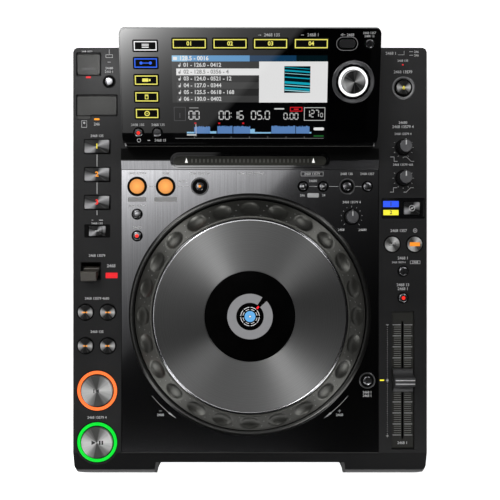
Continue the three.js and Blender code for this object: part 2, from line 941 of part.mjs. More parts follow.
function jackPanel() {
  const middle = jackPanelRise + jackPanelHeight / 2;
  const size = [jackPanelWidth - 2 * seatGap, wall, jackPanelHeight - 2 * seatGap];
  const sheet = block(size, [0, deckRear - wall / 2, jackPanelRise + seatGap]);
  const sockets = socketShares.map(([across, width, height]) => ({
    x: across * jackPanelWidth,
    size: [width * jackPanelHeight, height * jackPanelHeight],
  }));
  const shells = sockets.map(({ x, size: [width, height] }) =>
    block([width + 2 * socketWall, socketDepth, height + 2 * socketWall],
      [x, deckRear - socketDepth / 2, middle - height / 2 - socketWall]),
  );
  const hollows = sockets.map(({ x, size: [width, height] }) =>
    block([width, socketDepth, height], [x, deckRear + socketWall - socketDepth / 2, middle - height / 2]),
  );
  const barrel = cut(disc(jackRadius, -wall / 2, jackReach), disc(jackBore, 0, jackReach + overrun));
  const barrels = jackShares.map((across) =>
    barrel.rotate([-90, 0, 0]).translate([across * jackPanelWidth, deckRear, middle]),
  );
  return cut(join(sheet, ...shells, ...barrels), ...hollows);
}

// Port covers: each turns about the middle of its own rounded rear edge

function coverSide(depth) {
  const half = coverThickness / 2;
  const roundEdge = Array.from({ length: coverEdgeFacets + 1 }, (_, i) => {
    const angle = (i / coverEdgeFacets - 1 / 2) * coverEdgeArc;
    return [depth / 2 + half * (Math.cos(angle) - 1), half * (Math.sin(angle) - 1)];
  });
  return [
    [-depth / 2, -coverThickness],
    [depth / 2 - half, -coverThickness],
    ...roundEdge,
    [depth / 2 - half, 0],
    [-depth / 2, 0],
  ];
}

function portCover() {
  return sideways(coverSide(portCoverDepth), -portCoverWidth / 2, portCoverWidth / 2);
}

function cardCover() {
  const plate = sideways(coverSide(cardCoverDepth), -cardCoverWidth / 2, cardCoverWidth / 2);
  return join(plate, cardTab(0, -coverThickness, 0));
}

// Lever and slider

function directionLever() {
  const half = leverWidth / 2;
  const brow = leverHeight - 2 * capChamfer;
  const side = [
    [-leverNeck / 2, -leverPivot],
    [leverNeck / 2, -leverPivot],
    [leverNeck / 2, leverNeckRise],
    [leverHead / 2, brow],
    [leverHead / 2 - capChamfer, leverHeight],
    [capChamfer - leverHead / 2, leverHeight],
    [-leverHead / 2, brow],
    [-leverNeck / 2, leverNeckRise],
  ].map(([y, z]) => [y, z + leverPivot]);
  const hub = disc(leverHub, -half, half).rotate([0, 90, 0]);
  return join(sideways(side, -half, half), hub);
}

function tempoSlider() {
  const skirtTop = faderSkirt - faderFoot;
  const side = [
    [-faderBase / 2, -faderFoot],
    [faderBase / 2, -faderFoot],
    [faderBase / 2, skirtTop],
    [faderWaist / 2, faderWaistRise],
    [faderTop / 2, faderHeight],
    [-faderTop / 2, faderHeight],
    [-faderWaist / 2, faderWaistRise],
    [-faderBase / 2, skirtTop],
  ];
  const stem = block([stemWidth, stemDepth, stemEnd], [0, 0, -stemEnd]);
  return join(sideways(side, -faderWidth / 2, faderWidth / 2), stem);
}

// Jog wheel: a dish with a ring of finger dimples, a metal platter and a lens, all turning round a
// fixed hollow spindle. Heights are above the deck.

const platterLow = dialHeight + platterProud - platterThickness;
const rimTop = dialLift + rimHeight;

function jogProfile() {
  const bore = spindleRadius + seatGap;
  const webLow = platterLow - dialWall;
  return [
    [bore, underDial],
    [bore + hubWall, underDial],
    [bore + hubWall, webLow],
    [shoulderRadius - dialWall, webLow],
    [jogRadius - dialWall, rimTop - dialWall / 2],
    [jogRadius - dialWall, dialLift],
    [jogRadius, dialLift],
    [jogRadius, rimTop],
    [jogRadius - rimChamfer, rimTop + rimChamfer],
    [shoulderRadius, dialHeight],
    [platterRadius + seatGap, dialHeight],
    [platterRadius + seatGap, platterLow],
    [bore, platterLow],
    [bore, underDial],
  ];
}

// A shallow bowl for one fingertip, sunk square to the dial's sloping shoulder
function dimple(turn) {
  const [outer, inner] = [jogRadius - rimChamfer, shoulderRadius];
  const [low, high] = [rimTop + rimChamfer, dialHeight];
  const slope = Math.atan2(high - low, outer - inner);
  const bowl = new THREE.SphereGeometry(1, bowlRound, bowlRound / 2).rotateX(Math.PI / 2);
  bowl.scale(dimpleLength / 2, dimpleWidth / 2, dimpleDepth);
  bowl.rotateY(slope).translate((outer + inner) / 2, 0, (low + high) / 2).rotateZ(turn);
  return solid(bowl);
}

function jogDial() {
  const turns = Array.from({ length: dimpleCount }, (_, i) => (i * 2 * Math.PI) / dimpleCount);
  return cut(turned(jogProfile(), largeRound), ...turns.map(dimple));
}

function jogPlatter() {
  const top = platterLow + platterThickness;
  const hole = lensRadius + seatGap;
  const profile = [
    [hole, platterLow],
    [platterRadius, platterLow],
    [platterRadius, top - platterChamfer],
    [platterRadius - platterChamfer, top],
    [hole, top],
    [hole, platterLow],
  ];
  return turned(profile, largeRound);
}

function jogBezel() {
  const inner = jogRadius + bezelGap;
  const land = (bezelRadius + inner - bezelLand) / 2;
  const profile = [
    [inner, 0],
    [bezelRadius, 0],
    [land + bezelLand, bezelHeight],
    [land, bezelHeight],
    [inner, bezelHeight / 2],
    [inner, 0],
  ];
  return turned(profile, largeRound);
}

function jogSpindle() {
  const top = platterLow - seatGap;
  const profile = [
    [cableHole, -plateThickness],
    [spindleFlange, -plateThickness],
    [spindleFlange, spindleFlangeThickness - plateThickness],
    [spindleRadius, spindleFlangeThickness - plateThickness],
    [spindleRadius, top - displayThickness],
    [spindleRadius - hubWall / 2, top],
    [0, top],
    [0, top - displayThickness],
    [cableHole, top - displayThickness],
    [cableHole, -plateThickness],
  ];
  return turned(profile, mediumRound);
}

// Console

const cosTilt = Math.cos(consoleTilt);
const sinTilt = Math.sin(consoleTilt);

// A point [y, z] of the whole player in the console's own tilted frame
function tilted([y, z]) {
  const [dy, dz] = [y - consoleGroup.position.y, z - consoleGroup.position.z];
  return [dy * cosTilt + dz * sinTilt, dz * cosTilt - dy * sinTilt];
}

const consoleRearTop = deckHeight + consoleRise + consoleLength * sinTilt;

function consoleSide() {
  const low = shelfTop + seatGap;
  return [
    tilted([consoleFace, low]),
    tilted([consoleFace, deckHeight + consoleRise - consoleLip]),
    [0, 0],
    [consoleLength, 0],
    tilted([overallDepth / 2, consoleRearTop - consoleRearLip]),
    tilted([overallDepth / 2, consoleRearTop - heelDrop]),
    tilted([deckRear, low]),
  ];
}

function consoleCavity() {
  const low = shelfTop - overrun;
  return [
    tilted([consoleFace + wall, low]),
    tilted([consoleFace + wall, deckHeight + consoleRise - consoleLip - consoleDepth]),
    [wall, -consoleDepth],
    [consoleLength - wall, -consoleDepth],
    tilted([overallDepth / 2 - wall, consoleRearTop - heelDrop]),
    tilted([deckRear - wall, low]),
  ];
}

function windowOutline(growth) {
  const [width, depth] = [consoleWidth - 2 * windowRim, consoleLength - 2 * windowRim];
  return roundedRectangle(width - 2 * growth, depth - 2 * growth, windowCorner);
}

const screenPlace = onConsole(consoleShares.screen);
const menuPlaces = consoleShares.menuColumns.map((x) => onConsole([x, consoleShares.menuRow]));
const sourcePlaces = consoleShares.sourceRows.map((y) => onConsole([consoleShares.sourceColumn, y]));
const backPlace = onConsole(consoleShares.back);
const browsePlace = onConsole(consoleShares.browse);

const consoleRoundKeys = [
  ["quantize_button", onConsole(consoleShares.quantize)],
  ["time_mode_button", onConsole(consoleShares.timeMode)],
  ["tag_button", onConsole(consoleShares.tag)],
];

function backDish() {
  const [width, depth] = [backKeyWidth + 2 * backDishReach, backKeyDepth + 2 * backDishReach];
  return upright(roundedRectangle(width, depth, depth / 2), -dishDepth, overrun, pillFacets);
}

function consoleHoles() {
  const square = (width, depth) => (place) => at(squareHole(width, depth, consoleDepth), place);
  return [
    ...menuPlaces.map(square(menuKeyWidth, menuKeyDepth)),
    ...sourcePlaces.map(square(sourceKeyWidth, sourceKeyDepth)),
    ...[backPlace].map(square(backKeyWidth, backKeyDepth)),
    at(backDish(), backPlace),
    at(roundHole(browseRadius, browseDish, consoleDepth), browsePlace),
    ...consoleRoundKeys.map(([, place]) =>
      at(roundHole(consoleCap, consoleCap + dishReach, consoleDepth), place),
    ),
  ];
}

function consoleHousing() {
  const half = consoleWidth / 2;
  const shell = cut(
    sideways(consoleSide(), -half, half),
    sideways(consoleCavity(), wall - half, half - wall),
  );
  const windowSeat = at(upright(windowOutline(0), -windowThickness, consoleDepth), [0, consoleLength / 2]);
  const screen = [screenWidth + 2 * seatGap, screenDepth + 2 * seatGap, consoleDepth];
  return cut(shell, windowSeat, block(screen, [...screenPlace, -consoleDepth - overrun]), ...consoleHoles());
}

function consoleWindow() {
  const pane = at(upright(windowOutline(seatGap), -windowThickness, 0), [0, consoleLength / 2]);
  return cut(pane, ...consoleHoles());
}

const consoleBoardTop = -consoleDepth - seatGap - flangeThickness - keyTravel - seatGap;

function lcdModule() {
  const low = consoleBoardTop - boardThickness;
  const board = [consoleWidth - 2 * (wall + overrun), consoleLength - 2 * boardInset, boardThickness];
  const screen = [screenWidth, screenDepth, -windowThickness - seatGap - low];
  return join(block(board, [0, consoleLength / 2, low]), block(screen, [...screenPlace, low]));
}

// Keys of one row share a web under the panel
function keypad(keyPlaces, width, depth) {
  const across = keyPlaces.map(([x]) => x);
  const along = keyPlaces.map(([, y]) => y);
  const [left, right] = [Math.min(...across), Math.max(...across)];
  const [front, rear] = [Math.min(...along), Math.max(...along)];
  const reach = 2 * flangeReach;
  const web = clippedRectangle(right - left + width + reach, rear - front + depth + reach, keyCorner);
  const cap = clippedRectangle(width, depth, keyCorner);
  const top = -consoleDepth - seatGap;
  return join(
    at(upright(web, top - flangeThickness, top), [(left + right) / 2, (front + rear) / 2]),
    ...keyPlaces.map((place) =>
      at(chamfered(cap, top - flangeThickness / 2, keyboardRise, capChamfer), place),
    ),
  );
}

function browseKnob() {
  const foot = consoleBoardTop + seatGap;
  const top = -consoleDepth - seatGap;
  const profile = [
    [0, foot],
    [shaftRadius, foot],
    [shaftRadius, top - flangeThickness],
    [browseRadius + flangeReach, top - flangeThickness],
    [browseRadius + flangeReach, top],
    [browseRadius, top],
    [browseRadius, browseHeight - browseRadius + browseTop],
    [browseTop, browseHeight],
    [0, browseHeight],
  ];
  return turned(profile, mediumRound);
}

function needleStrip() {
  return upright(needleOutline(0), shelfTop - needleDrop, shelfTop + needleProud, pillFacets);
}

// Assembly

piece("base_pan", basePan(), finishes.steel);
piece("main_housing", mainHousing(), finishes.strip);
piece("deck_plate", deckPlate(), finishes.plate);
piece("disc_drive", discDrive(), finishes.steel);
piece("main_board", mainBoard(), finishes.board);
piece("panel_board", panelBoard(), finishes.board);
piece("rear_jack_panel", jackPanel(), finishes.dark);
piece("needle_search_strip", needleStrip(), finishes.gloss, [...places.needle, 0]);

for (const [name, [x, y], radius, , look] of roundKeys) {
  piece(name, roundKey(radius, capRise, panelDepth), finishes[look], [x, y, deckHeight]);
}
for (const [name, [x, y], width, depth, look] of squareKeys) {
  piece(name, squareKey(width, depth, capRise, panelDepth), finishes[look], [x, y, deckHeight]);
}
for (const [name, ring, [x, y], look] of transportKeys) {
  const key = roundKey(transportCap, transportRise, panelDepth);
  piece(name, key, finishes.silverCap, [x, y, deckHeight]);
  piece(ring, lightRing(), finishes[look], [x, y, deckHeight]);
}
for (const [name, [x, y], height] of knobs) {
  piece(name, knob(height), finishes.knob, [x, y, deckHeight]);
}

piece("stick_port_cover", portCover(), finishes.strip, [...places.portCover, deckHeight]);
piece("card_port_cover", cardCover(), finishes.strip, [...places.cardCover, deckHeight]);
piece("tempo_slider", tempoSlider(), finishes.knob, [...places.tempo, deckHeight]);

const leverPlace = [...places.lever, deckHeight - leverPivot];
const lever = piece("direction_lever", directionLever(), finishes.knob, leverPlace);
lever.rotation.x = leverThrow;

const powerKey = roundKey(powerCap, powerRise, wall);
const power = piece("power_switch", powerKey, finishes.cap, [powerX, deckRear, powerHeight]);
power.rotation.x = -Math.PI / 2;

const jogPlace = [0, jogY, deckHeight];
const lens = disc(lensRadius, platterLow, platterLow + platterThickness, mediumRound);
piece("jog_bezel", jogBezel(), finishes.gloss, jogPlace);
piece("jog_spindle", jogSpindle(), finishes.dark, jogPlace);
piece("jog_dial", jogDial(), finishes.dial, jogPlace);
piece("jog_platter", jogPlatter(), finishes.spun, jogPlace);
piece("jog_lens", lens, finishes.gloss, jogPlace);

piece("console_housing", consoleHousing(), finishes.dark, [0, 0, 0], consoleGroup);
piece("console_window", consoleWindow(), finishes.gloss, [0, 0, 0], consoleGroup);
piece("lcd_module", lcdModule(), finishes.dark, [0, 0, 0], consoleGroup);

const menuKeys = keypad(menuPlaces, menuKeyWidth, menuKeyDepth);
const sourceKeys = keypad(sourcePlaces, sourceKeyWidth, sourceKeyDepth);
const backKey = squareKey(backKeyWidth, backKeyDepth, capRise, consoleDepth);
piece("menu_keypad", menuKeys, finishes.cap, [0, 0, 0], consoleGroup);
piece("source_keypad", sourceKeys, finishes.cap, [0, 0, 0], consoleGroup);
piece("back_button", backKey, finishes.cap, [...backPlace, 0], consoleGroup);
piece("selector_knob", browseKnob(), finishes.silverCap, [...browsePlace, 0], consoleGroup);
for (const [name, place] of consoleRoundKeys) {
  piece(name, roundKey(consoleCap, capRise, consoleDepth), finishes.cap, [...place, 0], consoleGroup);
}

export default player;
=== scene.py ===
"""Dresses the tabletop disc player: fine surfaces, printing, lit keys, and a plain studio.

Lengths inside a piece are in millimetres and become metres where its mesh is placed. The player's
frame is the model's own: +X to the right, +Y to the rear, +Z up, the table at zero.
"""

import math
import random

import bmesh
import bpy
from mathutils import Matrix, Vector


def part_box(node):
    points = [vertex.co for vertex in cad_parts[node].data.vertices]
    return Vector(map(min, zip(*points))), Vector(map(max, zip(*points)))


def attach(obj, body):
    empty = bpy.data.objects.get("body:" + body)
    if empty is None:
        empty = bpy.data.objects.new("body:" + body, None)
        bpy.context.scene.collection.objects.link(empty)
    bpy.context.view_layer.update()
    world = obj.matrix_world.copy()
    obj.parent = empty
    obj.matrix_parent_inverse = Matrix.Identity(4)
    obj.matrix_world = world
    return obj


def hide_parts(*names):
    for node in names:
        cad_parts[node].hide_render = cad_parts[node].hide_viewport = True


bl_info = {
    "name": "Disc player dressing",
    "version": (1, 0, 0),
    "blender": (4, 5, 0),
    "location": "3D View > Sidebar > Player",
    "description": "Gives a tabletop disc player its fine surfaces, printing and studio",
    "category": "Object",
}

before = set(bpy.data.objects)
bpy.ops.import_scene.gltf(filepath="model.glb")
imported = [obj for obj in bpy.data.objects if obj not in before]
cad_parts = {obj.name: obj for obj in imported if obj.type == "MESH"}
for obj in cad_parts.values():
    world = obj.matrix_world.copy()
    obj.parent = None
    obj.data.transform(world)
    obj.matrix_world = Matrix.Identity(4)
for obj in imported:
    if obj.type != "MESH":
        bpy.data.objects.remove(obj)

MM = 0.001
BODY = "player_body"
DECK = 62.0  # the deck's height above the table
CONSOLE = Matrix.Translation((0, 0.10542, 0.0813)) @ Matrix.Rotation(math.radians(13.3), 4, "X")
FULL = 2 * math.pi
QUARTER = math.pi / 2
TIP_LEFT, TIP_RIGHT = QUARTER, -QUARTER  # how a triangle is turned to point that way


def linear(code):
    """Turns an sRGB hex colour into linear red, green, blue and alpha."""
    shares = [int(code[i : i + 2], 16) / 255 for i in (1, 3, 5)]
    return [s / 12.92 if s <= 0.04045 else ((s + 0.055) / 1.055) ** 2.4 for s in shares] + [1.0]


# Settings that a user would change


def length(name, description, default):
    return bpy.props.FloatProperty(
        name=name, description=description, default=default * MM, min=0, subtype="DISTANCE", unit="LENGTH"
    )


def colour(name, description, code):
    return bpy.props.FloatVectorProperty(
        name=name, description=description, default=linear(code), size=4, min=0, max=1, subtype="COLOR"
    )


class PlayerSizes(bpy.types.PropertyGroup):
    """Sizes of the fine shapes that the dressing adds."""

    edge: length("Edge", "Rounding of the mouldings' edges", 0.5)
    cap_edge: length("Cap edge", "Rounding of the key caps' edges", 0.35)
    socket_lip: length("Socket lip", "How far the black socket of a key stands above the deck", 0.14)
    ink: length("Ink", "Thickness of the printing", 0.03)
    dimple_depth: length("Dimple depth", "Depth of the jog wheel's finger dimples", 2.0)
    groove: length("Groove", "Spacing of the turned lines on metal, as coarse as they need to show", 0.55)


class PlayerColours(bpy.types.PropertyGroup):
    """Colours of the player's finishes."""

    strip: colour("Strips", "Grained plastic of the upper housing", "#1F1F20")
    deck: colour("Deck", "Brushed and blackened aluminium of the deck plate", "#565658")
    gloss: colour("Gloss", "Glossy black plastic of console and window", "#060607")
    dial: colour("Dial", "Dark metallic moulding of the jog wheel's dial", "#43433F")
    platter: colour("Platter", "Spun aluminium of the jog wheel's platter", "#595959")
    silver: colour("Silver", "Painted sheen on turned aluminium of the silver caps", "#EAEAE9")
    loop: colour("Loop keys", "Lit loop keys", "#F6A352")
    cue: colour("Cue ring", "Lit ring of the cue key", "#FF7A3C")
    play: colour("Play ring", "Lit ring of the play key", "#00E636")
    menu: colour("Key frames", "Lit frames of the console keys", "#E9E26A")
    ink: colour("Ink", "Printing on deck and strips", "#CECECF")


def sizes():
    return bpy.context.scene.player_sizes


def colours():
    return bpy.context.scene.player_colours


# Materials


def plug(socket, value):
    """Sets a socket to a value, or links it to another socket or to a node's first live output."""
    if isinstance(value, bpy.types.Node):
        value = next(output for output in value.outputs if output.enabled)
    if isinstance(value, bpy.types.NodeSocket):
        socket.id_data.links.new(value, socket)
    else:
        socket.default_value = value


def add(tree, kind, inputs=None, **settings):
    """Adds a shader node with its settings and inputs."""
    node = tree.nodes.new("ShaderNode" + kind)
    for name, value in settings.items():
        setattr(node, name, value)
    for name, value in (inputs or {}).items():
        plug(node.inputs[name], value)
    return node


def shell(name, **values):
    """Starts a material whose one shader has these values on its own sockets."""
    material = bpy.data.materials.new(name)
    material.use_nodes = True
    shader = material.node_tree.nodes["Principled BSDF"]
    for key, value in values.items():
        shader.inputs[key.replace("_", " ").title().replace("Ior", "IOR")].default_value = value
    return material, material.node_tree, shader.inputs


MADE = {}


def once(maker):
    """Makes a material once for each set of values, so that its pieces share it; it takes hex colours."""

    def kept(name, *values):
        values = [linear(v) if isinstance(v, str) else v for v in values]
        key = (maker.__name__, name, *[tuple(v) if hasattr(v, "__len__") else v for v in values])
        if key not in MADE:
            MADE[key] = maker(name, *values)
        return MADE[key]

    return kept


def noise(tree, spacing, detail):
    """An even pattern in the object's own coordinates, its spots so many millimetres apart."""
    place = add(tree, "TexCoord").outputs["Object"]
    return add(tree, "TexNoise", {"Vector": place, "Scale": 1 / (spacing * MM), "Detail": detail})


def mottle(tree, spacing, detail, low, high):
    """That pattern with its values spread from low to high."""
    return add(tree, "MapRange", {"Value": noise(tree, spacing, detail), "To Min": low, "To Max": high})


def tinted(socket, tint, shade):
    """Puts a tint on a socket, made lighter and darker by a shade."""
    inputs = {"Factor": 1.0, "A": tint, "B": shade}
    plug(socket, add(socket.id_data, "Mix", inputs, data_type="RGBA", blend_type="MULTIPLY"))


@once
def grained_plastic(name, tint, roughness, depth):
    """Moulded ABS from a finely eroded tool: a dull skin whose grain breaks up every highlight."""
    material, tree, skin = shell(
        name, base_color=tint, roughness=roughness, ior=1.53, specular_ior_level=0.12
    )
    # Real grain is near 0.1 mm; it is drawn at 0.45 mm so that it shows
    grain = noise(tree, 0.45, 3.0)
    both = add(tree, "Math", {0: grain, 1: noise(tree, 40, 1.0)}, operation="MULTIPLY")
    span = {"Value": both, "From Min": 0.15, "From Max": 0.4, "To Min": 0.78, "To Max": 1.22}
    tinted(skin["Base Color"], tint, add(tree, "MapRange", span))
    plug(skin["Normal"], add(tree, "Bump", {"Height": grain, "Distance": depth * MM, "Strength": 0.6}))
    return material


@once
def glossy_plastic(name, tint, roughness, coat=1.0, specular=0.5):
    """Polished ABS or acrylic: deep, with clear reflections and faint polishing haze."""
    material, tree, skin = shell(
        name, base_color=tint, roughness=roughness, ior=1.5, specular_ior_level=specular,
        coat_weight=coat, coat_roughness=0.03,
    )
    plug(skin["Roughness"], mottle(tree, 18, 4.0, roughness * 0.7, roughness * 1.4))
    return material


@once
def brushed_aluminium(name, tint, roughness):
    """Blackened aluminium brushed from front to rear under lacquer: streaks along Y, sharp reflections."""
    material, tree, skin = shell(
        name, base_color=tint, metallic=1.0, roughness=roughness, anisotropic=0.35,
        coat_weight=0.6, coat_roughness=0.04,
    )
    # Strokes 0.5 mm wide and 60 mm long
    strokes = (1 / (0.5 * MM), 1 / (60 * MM), 1 / (5 * MM))
    place = add(tree, "Mapping", {"Vector": add(tree, "TexCoord").outputs["Object"], "Scale": strokes})
    streak = add(tree, "TexNoise", {"Vector": place, "Scale": 1.0, "Detail": 3.0})
    span = {"Value": streak, "From Min": 0.3, "From Max": 0.7, "To Min": 0.82, "To Max": 1.2}
    tinted(skin["Base Color"], tint, add(tree, "MapRange", span))
    plug(skin["Tangent"], add(tree, "CombineXYZ", {"Y": 1.0}))
    return material


@once
def spun_metal(name, tint, roughness, anisotropy, metallic):
    """Metal turned in a lathe: fine circles, so that light gathers in wedges from the middle outwards.

    The piece's grain attribute points round its axis and is as long as the radius."""
    material, tree, skin = shell(
        name, base_color=tint, metallic=metallic, roughness=roughness, anisotropic=anisotropy
    )
    around = add(tree, "Attribute", attribute_name="grain").outputs["Vector"]
    plug(skin["Tangent"], around)
    radius = add(tree, "VectorMath", {0: around}, operation="LENGTH")
    circles = {"W": radius, "Scale": 1 / sizes().groove, "Detail": 3.0}
    lines = add(tree, "TexNoise", circles, noise_dimensions="1D")
    span = {"Value": lines, "From Min": 0.3, "From Max": 0.7, "To Min": 0.86, "To Max": 1.12}
    tinted(skin["Base Color"], tint, add(tree, "MapRange", span))
    plug(skin["Normal"], add(tree, "Bump", {"Height": lines, "Distance": 0.01 * MM, "Strength": 0.25}))
    return material


@once
def painted_sheen_metal(name, dark, light, sharpness, metallic):
    """A small turned cap: its circular grain gathers light in two opposite wedges with dark ones between.

    The wedges lie where the grain attribute points along X; streaks run outwards from the middle."""
    material, tree, skin = shell(
        name, metallic=metallic, roughness=0.34, specular_ior_level=0.12, anisotropic=0.5
    )
    around = add(tree, "Attribute", attribute_name="grain").outputs["Vector"]
    plug(skin["Tangent"], around)
    heading = add(tree, "VectorMath", {0: around}, operation="NORMALIZE")
    across = add(tree, "SeparateXYZ", {0: heading}).outputs["X"]
    size = add(tree, "Math", {0: across}, operation="ABSOLUTE")
    wedge = add(tree, "Math", {0: size, 1: sharpness}, operation="POWER")
    streaks = add(tree, "TexNoise", {"Vector": heading, "Scale": 2.6, "Detail": 3.0})
    uneven = add(tree, "Math", {0: streaks, 1: 0.6, 2: -0.33}, operation="MULTIPLY_ADD")
    share = add(tree, "Math", {0: wedge, 1: uneven}, operation="ADD", use_clamp=True)
    # Base colour: the painted sheen, light in the wedges and dark between them
    plug(skin["Base Color"], add(tree, "Mix", {"Factor": share, "A": dark, "B": light}, data_type="RGBA"))
    return material


@once
def lit_plastic(name, tint, strength):
    """Milky plastic lit from below: glows evenly, and a round key brighter over the lamp at its middle."""
    body = [channel * 0.3 for channel in tint[:3]] + [1.0]
    material, tree, skin = shell(
        name, base_color=body, roughness=0.35, ior=1.49, specular_ior_level=0.1, emission_strength=strength
    )
    around = add(tree, "Attribute", attribute_name="grain").outputs["Vector"]
    radius = add(tree, "VectorMath", {0: around}, operation="LENGTH")
    fall = add(tree, "MapRange", {"Value": radius, "From Max": 7 * MM, "To Min": 1.22, "To Max": 0.66})
    shade = add(tree, "Math", {0: noise(tree, 6, 1.0), 1: 0.12, 2: fall}, operation="MULTIPLY_ADD")
    tinted(skin["Emission Color"], tint, shade)
    return material


@once
def screen_ink(name, tint):
    """A colour shown by the display: glows as written, behind the window's gloss."""
    material, tree, skin = shell(
        name, base_color=(0, 0, 0, 1), roughness=0.05, ior=1.5, emission_strength=0.92, coat_weight=1.0
    )
    # The display's cells, 0.15 mm apart, drawn at 0.3 mm
    tinted(skin["Emission Color"], tint, mottle(tree, 0.3, 0.0, 0.93, 1.05))
    return material


@once
def screen_print(name, tint):
    """Pad printing: a thin dull film with slightly uneven cover."""
    material, tree, skin = shell(name, base_color=tint, roughness=0.55, ior=1.5)
    tinted(skin["Base Color"], tint, mottle(tree, 0.6, 2.0, 0.85, 1.08))
    return material


@once
def dark_moulding(name, tint, roughness, specular=0.2):
    """Plain black plastic or rubber of small parts, with a soft mottle from handling."""
    material, tree, skin = shell(
        name, base_color=tint, roughness=roughness, ior=1.5, specular_ior_level=specular
    )
    plug(skin["Roughness"], mottle(tree, 3, 3.0, roughness * 0.8, roughness * 1.2))
    return material


@once
def plated_metal(name, tint, roughness):
    """Bright nickel or zinc plating with fine wear."""
    material, tree, skin = shell(name, base_color=tint, metallic=1.0, roughness=roughness)
    plug(skin["Roughness"], mottle(tree, 1.5, 4.0, roughness * 0.6, roughness * 1.5))
    return material


def strip_finish():
    return grained_plastic("Grained ABS", colours().strip, 0.42, 0.05)


def deck_finish():
    return brushed_aluminium("Brushed black aluminium", colours().deck, 0.1)


def gloss_finish():
    return glossy_plastic("Polished black ABS", colours().gloss, 0.08)


def black_and_gap_shade():
    """The gap round a key: so deep and dull that nearly nothing shines back."""
    return dark_moulding("Black moulding and painted gap shade", "#030303", 0.6, 0.04)


def edge_highlight_finish():
    # A grey strip whose colour paints the highlight along a rounded edge
    return grained_plastic("Painted edge highlight", "#464644", 0.4, 0.005)


def silver_finish():
    # The silver caps' light and dark wedges are a painted sheen
    return painted_sheen_metal("Painted sheen on turned aluminium", "#4A4A49", colours().silver, 2.6, 0.2)


def cap_finish():
    return spun_metal("Dark turned caps", "#626264", 0.16, 0.5, 0.9)


def print_finish():
    return screen_print("Grey printing", colours().ink)


def white_print():
    return screen_print("White printing", "#E6E6E6")


def black_print():
    return screen_print("Black printing", "#161616")


# Shapes


def placed(name, bm, materials, place, body=BODY, replaces=None, bevel=None, twist=None, angle=32):
    """Turns a bmesh in millimetres into a finished piece that rides on a body.

    A turned piece has a grain round its place's own Z axis; the twist swings the grain off the
    circle, in degrees. Edges steeper than the angle stay sharp."""
    bm.transform(place @ Matrix.Scale(MM, 4))
    mesh = bpy.data.meshes.new(name)
    bm.to_mesh(mesh)
    bm.free()
    piece = bpy.data.objects.new(name, mesh)
    bpy.context.scene.collection.objects.link(piece)
    for material in materials if isinstance(materials, (list, tuple)) else [materials]:
        mesh.materials.append(material)
    mesh.shade_smooth()
    mesh.set_sharp_from_angle(angle=math.radians(angle))
    if twist is not None:
        centre, axis = place.translation, place.to_3x3() @ Vector((0, 0, 1))
        stored = mesh.attributes.new("grain", "FLOAT_VECTOR", "POINT")
        swing = Matrix.Rotation(math.radians(twist), 3, axis)
        for vertex, item in zip(mesh.vertices, stored.data):
            item.vector = swing @ axis.cross(vertex.co - centre)
    if bevel:
        rounding = piece.modifiers.new("Edges", "BEVEL")
        rounding.width = bevel
        rounding.segments = 3
        rounding.limit_method = "ANGLE"
        rounding.angle_limit = math.radians(35)
        rounding.harden_normals = True
    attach(piece, body)
    if replaces:
        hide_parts(replaces)
    return piece


def closed(bm):
    bmesh.ops.remove_doubles(bm, verts=bm.verts, dist=1e-4)
    bmesh.ops.recalc_face_normals(bm, faces=bm.faces)
    return bm


def pulled(bm, faces, shift, keep=False):
    """Pulls faces out into a solid."""
    made = bmesh.ops.extrude_face_region(bm, geom=faces, use_keep_orig=keep)["geom"]
    bmesh.ops.translate(bm, vec=shift, verts=[v for v in made if isinstance(v, bmesh.types.BMVert)])
    return bm


def revolve(profile, steps=64):
    """Turns a profile of (radius, height) points round the Z axis."""
    bm = bmesh.new()
    verts = [bm.verts.new((radius, 0, height)) for radius, height in profile]
    edges = [bm.edges.new(pair) for pair in zip(verts, verts[1:])]
    bmesh.ops.spin(
        bm, geom=verts + edges, cent=(0, 0, 0), axis=(0, 0, 1), angle=FULL, steps=steps, use_merge=True
    )
    return closed(bm)


def rounded(bm, geom, corner, segments, affect, clamp=True):
    bmesh.ops.bevel(
        bm, geom=geom, offset=corner, offset_type="OFFSET", segments=segments, profile=0.5,
        affect=affect, material=-1, clamp_overlap=clamp,
    )


def slab(width, depth, low, high, corner=0.0, steps=6):
    """An upright block with rounded corners in plan."""
    bm = bmesh.new()
    bmesh.ops.create_cube(bm, size=1)
    bmesh.ops.scale(bm, vec=(width, depth, high - low), verts=bm.verts)
    bmesh.ops.translate(bm, vec=(0, 0, (low + high) / 2), verts=bm.verts)
    if corner:
        upright = [e for e in bm.edges if abs(e.verts[0].co.z - e.verts[1].co.z) > (high - low) / 2]
        rounded(bm, upright, corner, steps, "EDGES")
    return bm


def swept(points, left, right):
    """A side view of (y, z) points swept across from left to right."""
    bm = bmesh.new()
    face = bm.faces.new([bm.verts.new((left, y, z)) for y, z in points])
    return closed(pulled(bm, [face], (right - left, 0, 0)))


def ring_shape(width, depth, inner_width, inner_depth, low, high, corner, across=0.0, along=0.0):
    """A flat frame: a rounded slab with a rounded hole right through it."""
    bm = bmesh.new()
    verts = bmesh.ops.create_grid(bm, x_segments=1, y_segments=1, size=0.5)["verts"]
    bmesh.ops.scale(bm, vec=(width, depth, 1), verts=verts)
    rounded(bm, verts, corner, 5, "VERTICES")
    inner = next(iter(bm.faces))
    inset = 0.01
    bmesh.ops.inset_individual(bm, faces=[inner], thickness=inset, depth=0)
    share = (inner_width / (width - 2 * inset), inner_depth / (depth - 2 * inset), 1)
    bmesh.ops.scale(bm, vec=share, verts=inner.verts)
    bmesh.ops.translate(bm, vec=(across, along, 0), verts=inner.verts)
    bmesh.ops.delete(bm, geom=[inner], context="FACES")
    pulled(bm, bm.faces[:], (0, 0, high - low), keep=True)
    bmesh.ops.translate(bm, vec=(0, 0, low), verts=bm.verts)
    return closed(bm)


def joined(first, *others):
    """Adds other bmeshes to the first."""
    for other in others:
        mesh = bpy.data.meshes.new("part")
        other.to_mesh(mesh)
        other.free()
        first.from_mesh(mesh)
        bpy.data.meshes.remove(mesh)
    return first


